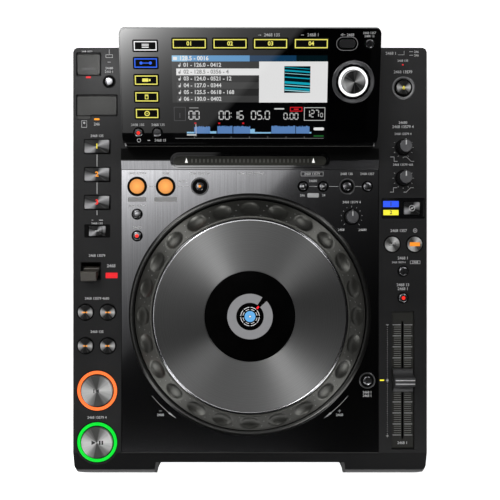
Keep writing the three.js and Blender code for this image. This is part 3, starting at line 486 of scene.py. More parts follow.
def moved(bm, x=0.0, y=0.0):
    bmesh.ops.translate(bm, vec=(x, y, 0), verts=bm.verts)
    return bm


def dressed(node, name, material, bevel, body=BODY, angle=14, corner=0.0, beyond=0.0, inner=()):
    """Takes over a CAD node's shape, with its flats made whole and its edges rounded.

    Steep outer edges farther out than a given X get the larger corner radius. Where two inner
    materials are given, they go on the side faces of the notch under the front edge and on the
    front slope."""
    bm = bmesh.new()
    bm.from_mesh(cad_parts[node].data)
    bmesh.ops.scale(bm, vec=(1 / MM,) * 3, verts=bm.verts)
    bmesh.ops.remove_doubles(bm, verts=bm.verts, dist=2e-3)
    bmesh.ops.dissolve_limit(bm, angle_limit=math.radians(0.4), verts=bm.verts, edges=bm.edges)
    if corner:
        sharp = [
            e for e in bm.edges
            if len(e.link_faces) == 2 and e.calc_face_angle_signed() > 1.2
            and abs((e.verts[0].co - e.verts[1].co).normalized().z) > 0.6
            and min(abs(v.co.x) for v in e.verts) > beyond
        ]
        rounded(bm, sharp, corner, 6, "EDGES", clamp=False)
    if inner:
        bmesh.ops.recalc_face_normals(bm, faces=bm.faces)
        for face in bm.faces:
            at = face.calc_center_median()
            # Painted shade goes on the notch's side faces and on the front slope
            notch = abs(face.normal.x) > 0.5 and abs(at.x) < 130 and at.y < -186
            slope = face.normal.z > 0.85 and face.normal.y < -0.2
            face.material_index = 1 if notch else 2 if slope else 0
    return placed(name, bm, [material, *inner], Matrix(), body, node, bevel, angle=angle)


def deck_place(x, y, z=0.0):
    return Matrix.Translation(Vector((x, y, DECK + z)) * MM)


def console_place(x, y, z=0.0):
    return CONSOLE @ Matrix.Translation(Vector((x, y, z)) * MM)


def above(node, z=0.0):
    """The place on the deck at the middle of a node's box."""
    low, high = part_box(node)
    middle = (low + high) / (2 * MM)
    return deck_place(middle.x, middle.y, z)


# Printing


class Sheet:
    """Flat printing on one plane: shapes are laid in millimetres, each in one of its inks.

    Every shape takes its ink and its middle first; a numeral display takes its lower left corner."""

    def __init__(self, *inks):
        self.bm = bmesh.new()
        self.inks = list(inks)
        self.level = 0.0

    def keep(self, verts, ink, place):
        """Gives a shape its ink and lays it down on the sheet's level."""
        bmesh.ops.transform(self.bm, matrix=Matrix.Translation((0, 0, self.level)) @ place, verts=verts)
        index = self.inks.index(ink)
        for face in {f for v in verts for f in v.link_faces}:
            face.material_index = index

    def since(self, before):
        """The vertices that weren't there before."""
        return [v for v in self.bm.verts if v not in before]

    def bar(self, ink, x, y, width, height, turn=0.0, corner=0.0):
        """A filled rectangle."""
        before = set(self.bm.verts) if corner else ()
        made = bmesh.ops.create_grid(self.bm, x_segments=1, y_segments=1, size=0.5)["verts"]
        bmesh.ops.scale(self.bm, vec=(width, height, 1), verts=made)
        if corner:
            rounded(self.bm, made, corner, 4, "VERTICES")
            made = self.since(before)
        self.keep(made, ink, Matrix.Translation((x, y, 0)) @ Matrix.Rotation(turn, 4, "Z"))

    def dot(self, ink, x, y, radius, sides=20, turn=0.0, tall=1.0):
        """A disc, or with three sides a triangle."""
        made = bmesh.ops.create_circle(self.bm, cap_ends=True, segments=sides, radius=radius)["verts"]
        place = Matrix.Translation((x, y, 0)) @ Matrix.Diagonal((1, tall, 1, 1))
        self.keep(made, ink, place @ Matrix.Rotation(turn, 4, "Z"))

    def arc(self, ink, x, y, inner, outer, start=0, sweep=360):
        """A band between two radii, in degrees."""
        before = set(self.bm.verts)
        begin = math.radians(start)
        ends = [self.bm.verts.new((math.cos(begin) * r, math.sin(begin) * r, 0)) for r in (inner, outer)]
        bmesh.ops.spin(
            self.bm, geom=ends + [self.bm.edges.new(ends)], cent=(0, 0, 0), axis=(0, 0, 1),
            angle=math.radians(sweep), steps=max(4, int(abs(sweep) / 6)), use_merge=sweep >= 360,
        )
        self.keep(self.since(before), ink, Matrix.Translation((x, y, 0)))

    def frame(self, ink, x, y, width, height, line):
        """A rectangular outline."""
        for side in (-1, 1):
            self.bar(ink, x, y + side * (height - line) / 2, width, line)
            self.bar(ink, x + side * (width - line) / 2, y, line, height - 2 * line)

    def text(self, ink, x, y, words, height, align="CENTER"):
        """Plain numerals and signs."""
        curve = bpy.data.curves.new("numerals", "FONT")
        curve.body = words
        curve.size = height * 1.42
        curve.align_x = align
        curve.align_y = "CENTER"
        curve.resolution_u = 3
        curve.offset = 0.035 * height
        holder = bpy.data.objects.new("numerals", curve)
        bpy.context.scene.collection.objects.link(holder)
        bpy.context.view_layer.update()
        mesh = bpy.data.meshes.new_from_object(holder)
        before = set(self.bm.verts)
        self.bm.from_mesh(mesh)
        self.keep(self.since(before), ink, Matrix.Translation((x, y, 0)))
        bpy.data.objects.remove(holder)
        bpy.data.curves.remove(curve)
        bpy.data.meshes.remove(mesh)

    def label(self, ink, x, y, width, height=1.7):
        """Plain numerals in groups, about as wide and dense as a line of small lettering."""
        height *= 1.3
        count = max(2, round(width / (0.83 * height)))
        gap = [i % 6 == 4 and i < count - 1 for i in range(count)]
        words = "".join(" " if gap[i] else "2468013579"[i % 10] for i in range(count))
        self.text(ink, x, y, words, height)

    def seven(self, ink, x, y, digits, width, height, line):
        """Numerals of seven strokes, as a display forms them."""
        lit = {"0": "abcdef", "1": "bc", "2": "abged", "5": "afgcd", "6": "afgedc", "7": "abc"}
        half, gap = height / 2, width * 0.42
        strokes = {
            "a": (width / 2, height, 0), "g": (width / 2, half, 0), "d": (width / 2, 0, 0),
            "f": (0, height * 0.75, 1), "b": (width, height * 0.75, 1),
            "e": (0, height * 0.25, 1), "c": (width, height * 0.25, 1),
        }
        for mark in digits:
            if mark in ".:":
                for level in (0.0,) if mark == "." else (0.25, 0.7):
                    self.bar(ink, x, y + level * height + line / 2, line, line)
                x += gap
                continue
            for key in lit[mark]:
                dx, dy, tall = strokes[key]
                size = (line, half - line * 1.2) if tall else (width - line * 1.2, line)
                self.bar(ink, x + dx, y + dy, *size)
            x += width + gap

    def line(self, ink, points, width):
        """A stroke through points, one bar for each stretch."""
        for (x0, y0), (x1, y1) in zip(points, points[1:]):
            reach = math.hypot(x1 - x0, y1 - y0) + width * 0.4
            self.bar(ink, (x0 + x1) / 2, (y0 + y1) / 2, reach, width, math.atan2(y1 - y0, x1 - x0))

    def draw(self, ink, shapes, x=0.0, y=0.0):
        """Lays shapes from a table: each is the name of the shape and what it takes after its ink."""
        for kind, across, along, *rest in shapes:
            getattr(self, kind)(ink, x + across, y + along, *rest)

    def done(self, name, place, body=BODY, slot=None):
        """Gives the printing its thickness and places it."""
        for face in self.bm.faces:
            if face.normal.z < 0:
                face.normal_flip()
        pulled(self.bm, self.bm.faces[:], (0, 0, sizes().ink / MM))
        return placed(name, self.bm, self.inks, place, body)


# Body


def dress_body():
    edge = sizes().edge
    board = dark_moulding("Solder mask", "#14532D", 0.4)
    black_board = dark_moulding("Black solder mask", "#0A0C0B", 0.4)
    # Painted shade: the near-black moulding on the side faces of the notch under the front edge, and a darker copy of
    # the housing's plastic on the front slope
    front = (black_and_gap_shade(), grained_plastic("Painted shade on the front slope", "#131314", 0.45, 0.012))
    dressed("main_housing", "upper_housing", strip_finish(), edge,
            corner=3.0, beyond=159.5, inner=front)
    pan = dark_moulding("Black powder coat", "#161617", 0.5)
    dressed("base_pan", "steel_pan", pan, edge * 0.6)
    dressed("deck_plate", "brushed_deck", deck_finish(), None, angle=3)
    zinc = plated_metal("Zinc plate", "#9FA0A1", 0.35)
    dressed("disc_drive", "drive_case", zinc, edge * 0.4)
    dressed("main_board", "main_board_laminate", board, edge * 0.2)
    dressed("panel_board", "panel_board_laminate", black_board, edge * 0.2)
    dressed("jog_spindle", "spindle_moulding", black_and_gap_shade(), edge * 0.4)
    dressed("lcd_module", "display_module", board, edge * 0.3)


def dress_feet():
    rubber = dark_moulding("Moulded rubber", "#0E0E0F", 0.75)
    ring = [(0, 0.05), (11.2, 0.05), (11.6, 0.4), (13.15, 1.9), (13.15, 4.2), (12.6, 4.7), (12.6, 5.4),
            (13.4, 6.0), (13.4, 7.7), (0, 7.7)]
    for across, side in ((-138.2, "left"), (138.2, "right")):
        for along, end in ((-149.49, "front"), (173.09, "rear")):
            place = Matrix.Translation((across * MM, along * MM, 0))
            placed(f"rubber_foot_{side}_{end}", revolve(ring, 48), rubber, place, bevel=0.2 * MM)


def dress_seams():
    """The dark gaps beside the deck plate, its front line, the foam seals and the ramp's trim."""
    dark, lip = black_and_gap_shade(), edge_highlight_finish()
    seam, foam = bmesh.new(), bmesh.new()
    for side in (-1, 1):
        joined(seam, moved(slab(0.55, 256.2, -0.3, 0.06), side * 116.35, -43.4))
        joined(foam, moved(slab(1.5, 330, 9.3, 10.1), side * 156.65))
    # Near-black strips paint the shade in the seams beside the deck plate
    placed("deck_seam_shade", seam, dark, deck_place(0, 0))
    # A grey strip paints the highlight along the deck plate's front edge
    placed("deck_front_highlight", slab(232.6, 0.5, -0.3, 0.05), lip, deck_place(0, -171.2))
    placed("side_gaskets", foam, dark, Matrix())
    half, lift, top = 116.3, 0.12, 64.5
    ramp = [(84.8, DECK - 0.3), (84.8, DECK + lift), (92.35, top + lift), (93.2, top + lift), (93.2, 64.3)]
    placed("rear_trim", swept(ramp, -half, half), deck_finish(), Matrix(),
           bevel=0.1 * MM, angle=10)
    shelf = [(93.2, 64.3), (93.2, top + lift), (103.6, top + lift), (103.6, 64.3)]
    placed("rear_shelf", swept(shelf, -half, half), dark, Matrix())
    # A grey strip on the console's front chamfer paints the highlight of its lip
    line = [(103.34, 79.36), (103.9, 79.92), (103.84, 80.02), (103.26, 79.44)]
    placed("console_lip_highlight", swept(line, -108.3, 108.3), lip, Matrix())


# Keys

# Each round key of the deck: cap radius, socket radius, look, and the width of a raised rim
ROUND_KEYS = {
    "usb_stop": (3.75, 5.7, "cap", 0),
    "track_search_back": (6.7, 7.75, "pair", 0),
    "track_search_forward": (6.7, 7.75, "pair", 0),
    "search_reverse": (6.7, 7.75, "pair", 0),
    "search_forward": (6.7, 7.75, "pair", 0),
    "disc_eject": (6.5, 10.4, "pair", 2.2),
    "sync": (6.7, 7.75, "silver", 0),
    "master": (6.7, 7.75, "silver", 0),
    "tempo_range": (4.0, 5.0, "cap", 0),
    "master_tempo": (4.0, 5.0, "cap", 0),
    "loop_in": (6.6, 8.75, "loop", 0),
    "loop_out": (6.6, 8.75, "loop", 0),
    "reloop": (3.9, 8.0, "cap", 1.3),
    "call_back": (3.6, 4.85, "cap", 0),
    "call_forward": (3.6, 4.85, "cap", 0),
    "delete": (4.0, 7.25, "cap", 1.2),
    "memory": (3.9, 4.85, "cap", 0),
    "loop_mode": (3.9, 4.9, "cap", 0),
    "slip": (3.9, 4.9, "cap", 0),
    "tempo_reset": (4.0, 7.25, "cap", 1.2),
}

# Each rectangular key: cap width and depth, socket width and depth
SQUARE_KEYS = {
    "hot_cue_a": (22.3, 11.7, 24.3, 13.7),
    "hot_cue_b": (22.3, 11.7, 24.3, 13.7),
    "hot_cue_c": (22.3, 11.7, 24.3, 13.7),
    "recall": (9.0, 7.5, 23.4, 12.0),
    "jog_mode": (14.0, 10.9, 15.6, 12.5),
}


def cap_shape(radius, rise, dome=0.3, foot=-2.0):
    """A round cap on a narrower stem, domed on top."""
    crown = [(radius * share, rise + dome * (1 - share * share)) for share in (0.85, 0.6, 0.3)]
    stem = radius - 0.6
    return revolve([(0, foot), (stem, foot), (stem, 0.1), (radius, 0.3), (radius, rise - 0.3),
                    (radius - 0.3, rise), *crown, (0, rise + dome)])


def socket_shape(inner, outer):
    lip = sizes().socket_lip / MM
    knee = inner + (outer - inner) * 0.45
    return revolve([(inner, -1.6), (inner, -0.35), (knee, lip * 0.4), (outer, lip),
                    (outer + 0.2, lip * 0.4), (outer + 0.2, -0.4), (inner, -1.6)])


def dress_round_keys():
    # A look's material, its slot and the twist of its grain; on the silver and pair caps the twist sets where the
    # painted sheen's light wedges lie
    looks = {
        "cap": (cap_finish(), "key_plastic", 0),
        "silver": (silver_finish(), "spun_caps", 40),
        "pair": (painted_sheen_metal("Black caps with painted sheen", "#0A0A0A", "#DADADA", 7.0, 0.08), "key_plastic", 90),
        "loop": (lit_plastic("Lit orange key", colours().loop, 0.92), "loop_key_plastic", 0),
    }
    for stem, (radius, outer, look, rim) in ROUND_KEYS.items():
        node = stem + "_button"
        place = above(node)
        finish, slot, twist = looks[look]
        dome = 0.0 if radius > 6 else 0.35
        placed(f"{stem}_cap", cap_shape(radius, 1.9, dome), finish, place, node, node,
               sizes().cap_edge, twist)
        # The near-black socket paints the shade of the gap round the cap
        placed(f"{stem}_socket", socket_shape(radius + 0.25, outer), black_and_gap_shade(), place)
        if rim:
            low, high = 0.05, 0.42
            raised = [(outer - rim, low), (outer - rim * 0.6, high), (outer - rim * 0.2, high),
                      (outer + 0.1, 0.1), (outer - rim * 0.5, -0.1), (outer - rim, low)]
            metal = spun_metal("Dark turned rims", "#5C5C5D", 0.3, 0.7, 0.5)
            placed(f"{stem}_rim", revolve(raised), metal, place, twist=0)


def dress_square_keys():
    # The caps' light and dark wedges are a painted sheen
    sheen = painted_sheen_metal("Black sheen", "#0A0A0A", "#C6C6C8", 7.0, 0.05)
    for stem, (width, depth, outer, across) in SQUARE_KEYS.items():
        node = stem + "_button"
        place = above(node)
        hole = (width + 0.5, depth + 0.5)
        cap = slab(width, depth, -2, 2.0, 0.9)
        if stem == "recall":  # A small cap on a wide step
            cap = joined(slab(15, 9, -2, 0.2, 0.8), slab(width, depth, 0.2, 2.0, 0.8))
            hole = (15.5, 9.5)
        placed(f"{stem}_cap", cap, sheen, place, node, node, sizes().cap_edge, 60)
        # The near-black socket round each cap paints the shade of its gap
        placed(f"{stem}_socket", ring_shape(outer, across, *hole, -1.0, 0.14, 1.0),
               black_and_gap_shade(), place, bevel=0.1 * MM)


def dress_mode_plate():
    """The sunken plate of the jog mode key with its two lamps."""
    x, y = 138.6, 49.74
    gloss = glossy_plastic("Mode plate gloss", "#08080A", 0.12)
    key = above("jog_mode_button").translation / MM
    plate = ring_shape(37.6, 17.0, 14.7, 11.6, -0.58, -0.2, 0.8, key.x - x, key.y - y)
    placed("mode_plate", plate, gloss, deck_place(x, y))
    rim = ring_shape(39.4, 18.8, 37.5, 16.9, -0.6, 0.12, 1.2)
    placed("mode_plate_rim", rim, gloss, deck_place(x, y))
    blue = lit_plastic("Lit blue label", "#2F55E8", 0.85)
    yellow = lit_plastic("Lit yellow label", "#E8E03A", 0.85)
    lamps = Sheet(blue, yellow)
    lamps.bar(blue, 127.55, 53.6, 14.2, 5.6, corner=0.3)
    lamps.bar(yellow, 127.55, 45.9, 13.8, 4.8, corner=0.3)
    lamps.done("mode_lamps", deck_place(0, 0, -0.18), slot="key_plastic")
    black = black_print()
    names = Sheet(black)
    names.text(black, 127.55, 53.6, "1", 3.6)
    names.text(black, 127.55, 45.9, "2", 3.2)
    names.done("mode_lamp_numerals", deck_place(0, 0, -0.14), slot="key_plastic")


def dress_transport():
    cap = [(0, -2), (14.2, -2), (14.2, 2.1), (13.3, 2.8), (12.9, 2.75), (12.6, 2.55), (6, 2.42), (0, 2.4)]
    gap = [(14.3, -1.5), (14.3, 0.05), (14.9, 0.3), (15.1, 0.2), (15.1, -1.5), (14.3, -1.5)]
    ring = [(15.05, -1.5), (15.05, 0.35), (15.4, 0.62), (17.6, 0.62), (18.05, 0.3), (18.05, -1.5),
            (15.05, -1.5)]
    outer = [(18.05, -1), (18.05, 0.25), (18.5, 0.3), (18.9, 0.05), (18.9, -1), (18.05, -1)]
    for stem, tint, strength in (("cue", colours().cue, 0.84), ("play", colours().play, 0.68)):
        node = stem + "_button"
        place = above(node)
        # The silver cap's wedges are a painted sheen; the near-black gaps on either side of the lit ring paint the
        # shade there
        placed(f"{stem}_cap", revolve(cap, 96), silver_finish(), place, node, node,
               0.15 * MM, 80, angle=8)
        placed(f"{stem}_inner_gap", revolve(gap, 96), black_and_gap_shade(), place)
        glow = lit_plastic(f"Lit {stem} ring", tint, strength)
        placed(f"{stem}_ring", revolve(ring, 96), glow, place,
               replaces=f"{stem}_light_ring")
        placed(f"{stem}_outer_gap", revolve(outer, 96), black_and_gap_shade(), place)


# Knobs, slider, lever and covers


def fluted(radius, low, high, flutes, depth):
    """A knob's body whose side is gently fluted."""
    top = radius - 0.5
    bm = revolve([(0, low), (radius, low), (radius, low + 0.6), (top, high - 0.7), (top - 0.6, high),
                  (0, high)], flutes * 4)
    for vert in bm.verts:
        reach = math.hypot(vert.co.x, vert.co.y)
        if reach > top - 0.2:
            angle = math.atan2(vert.co.y, vert.co.x)
            share = 1 - depth * (0.5 + 0.5 * math.cos(flutes * angle)) / reach
            vert.co.x *= share
            vert.co.y *= share
    return bm


def dress_knobs():
    black = dark_moulding("Satin black knob", "#1B1B1C", 0.42)
    metal = spun_metal("Knob tops", "#4E4E50", 0.35, 0.6, 0.6)
    white = white_print()
    for stem, height in (("touch_brake", 15.0), ("release_start", 15.0), ("jog_adjust", 8.0)):
        node = stem + "_knob"
        place = above(node)
        placed(f"{stem}_grip", fluted(6.25, 0.3, height - 0.25, 20, 0.28), black, place,
               node, node, angle=28)
        top = [(0, height - 0.5), (5.35, height - 0.5), (5.35, height - 0.12), (5.1, height), (0, height - 0.05)]
        placed(f"{stem}_top", revolve(top, 48), metal, place, node, twist=0, angle=12)
        pointer = Sheet(white)
        pointer.bar(white, 0, 3.0, 1.1, 4.2)
        pointer.done(f"{stem}_pointer", above(node, height - 0.03), node)
        side = moved(slab(0.95, 0.25, height * 0.35, height - 0.5), 0, 6.05)
        placed(f"{stem}_pointer_side", side, print_finish(), place, body=node)
        washer = [(0, -0.3), (7.2, -0.3), (7.4, 0.0), (7.2, 0.18), (0, 0.18)]
        placed(f"{stem}_washer", revolve(washer, 48), black_and_gap_shade(), place)


def dress_slider():
    node = "tempo_slider"
    place = above(node)
    base, waist = 10.5, 4.5
    flank = [
        (waist + (base - 0.4 - waist) * (1 - math.sin(a)), 0.6 + 4.6 * (1 - math.cos(a)))
        for a in (math.radians(15 * step) for step in range(7))
    ]
    rear = [(base, -2.4), (base, 0.3), *flank, (4.3, 8.6), (3.8, 11.0), (3.3, 11.5)]
    side = rear + [(-y, z) for y, z in rear[::-1]]
    black = grained_plastic("Slider cap", "#4A4A4B", 0.35, 0.01)
    placed("tempo_slider_cap", swept(side, -8.9, 8.9), black, place, node, node,
           0.3 * MM, angle=24)
    white = white_print()
    lines = Sheet(white)
    for y in (-1.6, 1.6):
        lines.bar(white, 0, y, 17.4, 0.9)
    lines.done("tempo_slider_lines", above(node, 11.48), node)

    floor, thick = -2.6, 0.4
    bed = bmesh.new()
    for x in (-5.5, 5.5):
        joined(bed, moved(slab(9.1, 124.4, floor - thick, floor), x))
    for y in (-57.8, 57.8):
        joined(bed, moved(slab(1.9, 8.8, floor - thick, floor), 0, y))
    placed("tempo_track", bed, grained_plastic("Track floor", "#2C2C28", 0.5, 0.01), place)
    dim, bright = screen_print("Track scale", "#8A8A85"), print_finish()
    scale = Sheet(dim, bright)
    travel, pitch = 50, 2.0
    for i in range(51):
        ink, reach, width = (dim, 6.4, 0.38) if i % 5 else (bright, 7.6, 0.46)
        for side in (-1, 1):
            scale.bar(ink, side * (1.4 + reach / 2), pitch * i - travel, reach, width)
    scale.label(bright, 0, -57.2, 12.6, 1.8)
    scale.done("tempo_scale", above(node, floor))


def dress_lever_and_covers():
    edge = sizes().edge
    lever = dark_moulding("Lever moulding", "#58544E", 0.35)
    dressed("direction_lever", "direction_lever_moulding", lever, edge, "direction_lever")
    cover = grained_plastic("Cover moulding", "#444442", 0.38, 0.03)
    # Each cover's place, size and corner radius
    covers = {"stick": (-146.0, 180.09, 20.3, 18.7, 2.2), "card": (-138.55, 142.95, 35.3, 17.0, 1.2)}
    for stem, (*_, corner) in covers.items():
        node = f"{stem}_port_cover"
        dressed(node, f"{stem}_cover", cover, edge * 0.5, node, corner=corner)
    for stem, (x, y, width, depth, _) in covers.items():
        # The near-black seat round each cover paints the shade of its gap
        seat = ring_shape(width + 2.4, depth + 2.8, width + 0.8, depth + 1.3, -0.6, 0.12, 1.0)
        placed(f"{stem}_cover_seat", seat, black_and_gap_shade(), deck_place(x, y))
    # Painted shadow: a dark line and crescent stand in for the shade of the stick cover's finger notch
    dark = screen_print("Shadow line", "#101010")
    notch = Sheet(dark)
    notch.bar(dark, -146, 174.9, 20.1, 0.5)
    notch.dot(dark, -146, 176.0, 5.8, 32, 0, 0.17)
    notch.done("stick_cover_notch_shadow", deck_place(0, 0, 0.01), "stick_port_cover")
    # The near-black frame round the lever's slot paints the shade of its gap
    slot = ring_shape(18.6, 16.2, 16.8, 14.4, -0.8, 0.12, 0.6)
    placed("direction_slot", slot, black_and_gap_shade(), deck_place(-144.0, -6.89))


# Jog wheel

JOG = (0.0, -46.38)
DIMPLES = 24
DIAL_FOOT, DIAL_BROW = Vector((101.9, 0, 8.2)), Vector((88.0, 0, 21.0))  # the ends of the dial's shoulder


def jog_place(z=0.0):
    return deck_place(*JOG, z)


def dial_shape():
    """The dial's shoulder is turned in many fine rings, then its finger dimples are pressed in."""
    rings = 26
    slope = [DIAL_FOOT.lerp(DIAL_BROW, i / rings) for i in range(rings + 1)]
    bm = revolve([(100.0, 2.6), (103.0, 2.6), (103.1, 3.0), (103.1, 7.0), (102.8, 7.7),
                  *[(point.x, point.z) for point in slope], (87.6, 21.0), (86.55, 21.0), (86.5, 18.8)], 480)
    run = DIAL_BROW - DIAL_FOOT
    middle = (DIAL_FOOT + DIAL_BROW) / 2
    outward = Vector((run.z, 0, -run.x)).normalized()
    depth = sizes().dimple_depth / MM
    step = FULL / DIMPLES
    half_width, margin, near = 8.3, 1.0, 0.01
    for vert in bm.verts:
        reach = math.hypot(vert.co.x, vert.co.y)
        if not DIAL_BROW.x - near <= reach <= DIAL_FOOT.x + near or vert.co.z < DIAL_FOOT.z - near:
            continue
        angle = math.atan2(vert.co.y, vert.co.x)
        across = (angle - round(angle / step) * step) * middle.x / half_width
        along = math.hypot(reach - middle.x, vert.co.z - middle.z) / (run.length / 2 - margin)
        share = across * across + along * along
        if share < 1:
            push = Matrix.Rotation(angle, 3, "Z") @ outward
            vert.co -= push * (depth * (1 - share) ** 0.75)
    return bm


def dial_dots():
    """Three small raised dots between each two dimples."""
    dots = bmesh.new()
    lean = Matrix.Rotation(math.atan2(12.8, 13.9), 4, "Y")
    for i in range(DIMPLES):
        for radius, height, shift in ((99.0, 10.87, -2.4), (94.1, 15.38, 0.0), (89.4, 19.7, 2.4)):
            turn = (i + 0.5) * FULL / DIMPLES + shift / 96
            dot = bmesh.ops.create_uvsphere(dots, u_segments=10, v_segments=6, radius=0.55)["verts"]
            bmesh.ops.scale(dots, vec=(1, 1, 0.35), verts=dot)
            place = Matrix.Rotation(turn, 4, "Z") @ Matrix.Translation((radius, 0, height)) @ lean
            bmesh.ops.transform(dots, matrix=place, verts=dot)
    return dots


def dress_jog():
    place, wheel = jog_place(), "jog_wheel"
    dial = spun_metal("Metallic moulding", colours().dial, 0.34, 0.3, 0.55)
    placed("dial_shoulder", dial_shape(), dial, place, wheel, "jog_dial", twist=0, angle=60)
    placed("dial_dots", dial_dots(), screen_print("Dial dots", "#8C8C8A"), place, wheel)
    top = 22.5
    metal = spun_metal("Spun platter", colours().platter, 0.45, 0.9, 1.0)
    disc = [(39.9, 20.6), (85.9, 20.6), (85.9, 21.2), (84.2, top - 0.15), (83.9, top), (40.4, top),
            (39.9, top - 0.3), (39.9, 20.6)]
    placed("platter_disc", revolve(disc, 192), metal, place, wheel, "jog_platter",
           twist=90, angle=12)
    chamfer = [(86.2, 21.2), (86.15, 21.45), (85.2, 22.1), (84.3, 22.44), (84.0, 22.4), (84.2, top - 0.4),
               (86.2, 21.2)]
    polished = spun_metal("Polished chamfer", "#8A8A8C", 0.16, 0.5, 1.0)
    placed("platter_chamfer", revolve(chamfer, 192), polished, place, wheel, twist=0)
    glass = [(0, 20.6), (39.6, 20.6), (39.6, top - 0.25), (39.3, top - 0.05), (0, top - 0.05)]
    lens = glossy_plastic("Black lens", "#020202", 0.2, 0.08, 0.05)
    placed("centre_lens", revolve(glass, 128), lens, place, wheel, "jog_lens")
    dress_centre_display()
    band = [(103.9, 0.0), (103.9, 0.9), (104.6, 2.0), (105.9, 2.45), (106.8, 2.55), (108.2, 2.1),
            (109.2, 1.1), (109.75, 0.0), (103.9, 0.0)]
    dark = spun_metal("Dark ring", "#3A3A39", 0.28, 0.6, 0.85)
    placed("jog_ring", revolve(band, 240), dark, place, replaces="jog_bezel",
           twist=90, angle=60)
    # The near-black well paints the shade of the gap between the dial and the ring
    well = [(100.5, -0.4), (103.95, -0.4), (103.95, 0.1), (100.5, 0.1), (100.5, -0.4)]
    placed("jog_well", revolve(well, 160), black_and_gap_shade(), place)


def dress_centre_display():
    """The fixed display under the lens: a ring open at its red pointer, and dashes round a blue disc."""
    grey = lit_plastic("Display grey", "#7B7B7D", 0.9)
    red = lit_plastic("Display red", "#E8202A", 1.0)
    white = lit_plastic("Display white", "#D8D8DA", 0.9)
    blue = lit_plastic("Display blue", "#5FA2D8", 0.85)
    face = Sheet(grey, red, white, blue)
    face.arc(grey, 0, 0, 12.1, 20.0, 57, 346)
    angle, radius = math.radians(49), 10.4
    face.bar(red, radius * math.cos(angle), radius * math.sin(angle), 2.6, 1.7, angle)
    for start in range(0, 360, 45):
        face.arc(white, 0, 0, 7.9, 8.35, start + 4, 37)
        face.arc(white, 0, 0, 6.0, 6.4, start + 8, 29)
    face.arc(blue, 0, 0, 1.2, 4.8)
    face.dot(white, 0, 0, 0.9)
    face.done("centre_display", jog_place(22.46), slot="lens_acrylic")


# Console

MENU_KEYS = ((-52.0, 85.7), (-17.1, 85.7), (17.66, 85.7), (52.5, 85.7))
SOURCE_KEYS = ((-89.8, 83.922), (-89.8, 69.541), (-89.8, 55.16), (-89.8, 40.8775), (-89.8, 26.595))
SOURCE_SIGNS = (
    (("bar", 0, -1.3, 6.0, 0.6), ("bar", 0, 0, 6.0, 0.6), ("bar", 0, 1.3, 6.0, 0.6)),
    (("bar", 0, 0, 8.28, 0.7), ("dot", -4, 0, 1.3), ("dot", 4, 0, 1.3)),
    (("bar", -0.8, 0, 5.2, 2.8), ("bar", 3.0, 0, 1.6, 1.8)),
    (("frame", 0, 0, 3.0, 4.0, 0.6), ("bar", 0, 0.9, 1.6, 0.6)),
    (("arc", 0, 0, 1.5, 2.3), ("dot", 0, 0, 0.5)),
)
MENU_SIGNS = tuple((("text", 0, 0, f"0{i + 1}", 3.4),) for i in range(4))


def dress_console():
    edge = sizes().edge
    dressed("console_housing", "console_moulding", gloss_finish(), edge * 1.2,
            corner=4.2, beyond=112.0)
    pane = glossy_plastic("Black-backed acrylic", "#040405", 0.03)
    dressed("console_window", "console_pane", pane, edge * 0.25)
    dress_keypads()
    dress_console_buttons()
    dress_selector()


def dress_keypads():
    """The menu and source keys: black caps with a lit frame and sign."""
    yellow = lit_plastic("Lit key frame", colours().menu, 0.75)
    blue = lit_plastic("Lit blue frame", "#2F62E8", 0.85)
    white = lit_plastic("Lit white frame", "#E2E2E2", 0.9)
    pads = (
        ("menu", MENU_KEYS, 29.1, 8.5, [yellow] * 4, MENU_SIGNS),
        ("source", SOURCE_KEYS, 20.4, 8.7, [white, blue] + [yellow] * 3, SOURCE_SIGNS),
    )
    for stem, places, width, depth, inks, signs in pads:
        node = stem + "_keypad"
        caps, gaps, marks = bmesh.new(), bmesh.new(), Sheet(yellow, blue, white)
        for (x, y), ink, sign in zip(places, inks, signs):
            joined(caps, moved(slab(width - 0.2, depth - 0.2, -2.2, 0.68, 0.9), x, y))
            # Near-black frames round the caps paint the shade of their gaps
            gap = ring_shape(width + 1.8, depth + 1.8, width + 0.4, depth + 0.4, -0.8, 0.05, 1.2)
            joined(gaps, moved(gap, x, y))
            marks.frame(ink, x, y, width - 0.9, depth - 0.9, 0.85)
            marks.draw(ink, sign, x, y)
        placed(f"{stem}_keys", caps, black_and_gap_shade(), CONSOLE, node, node, 0.25 * MM)
        placed(f"{stem}_key_gaps", gaps, black_and_gap_shade(), CONSOLE)
        marks.done(f"{stem}_key_frames", console_place(0, 0, 0.69), node)


def dress_console_buttons():
    place = console_place(83.25, 85.7)
    satin = dark_moulding("Satin console key", "#2A2A2C", 0.35)
    placed("back_cap", slab(13.7, 6.8, -2, 2.0, 3.3, 10), satin, place, "back_button",
           "back_button", 0.4 * MM)
    outline = ring_shape(18.7, 11.7, 17.6, 10.6, -0.2, 0.16, 5.8)
    placed("back_outline", outline, screen_print("Grey outline", "#8C8C8D"), place)
    # The near-black dish paints the shade round the back key
    placed("back_dish", ring_shape(17.9, 10.9, 14.4, 7.5, -0.9, 0.1, 5.4), black_and_gap_shade(), place)
    for stem, x, y in (("quantize", -97.76, 9.85), ("time_mode", -81.34, 9.85), ("tag", 102.6, 85.7)):
        node = stem + "_button"
        place = console_place(x, y)
        placed(f"{stem}_cap", cap_shape(3.7, 2.0, foot=-0.8), cap_finish(), place, node, node,
               sizes().cap_edge, 0)
        # The near-black socket paints the shade of the gap round each small cap
        placed(f"{stem}_socket", socket_shape(3.95, 4.75), black_and_gap_shade(), place)
    red = lit_plastic("Lit red", "#FF2A20", 1.0)
    lamp_mark = Sheet(red)
    lamp_mark.dot(red, 0, 0, 1.5)
    lamp_mark.done("quantize_lamp", console_place(-97.76, 9.85, 2.29), "quantize_button")


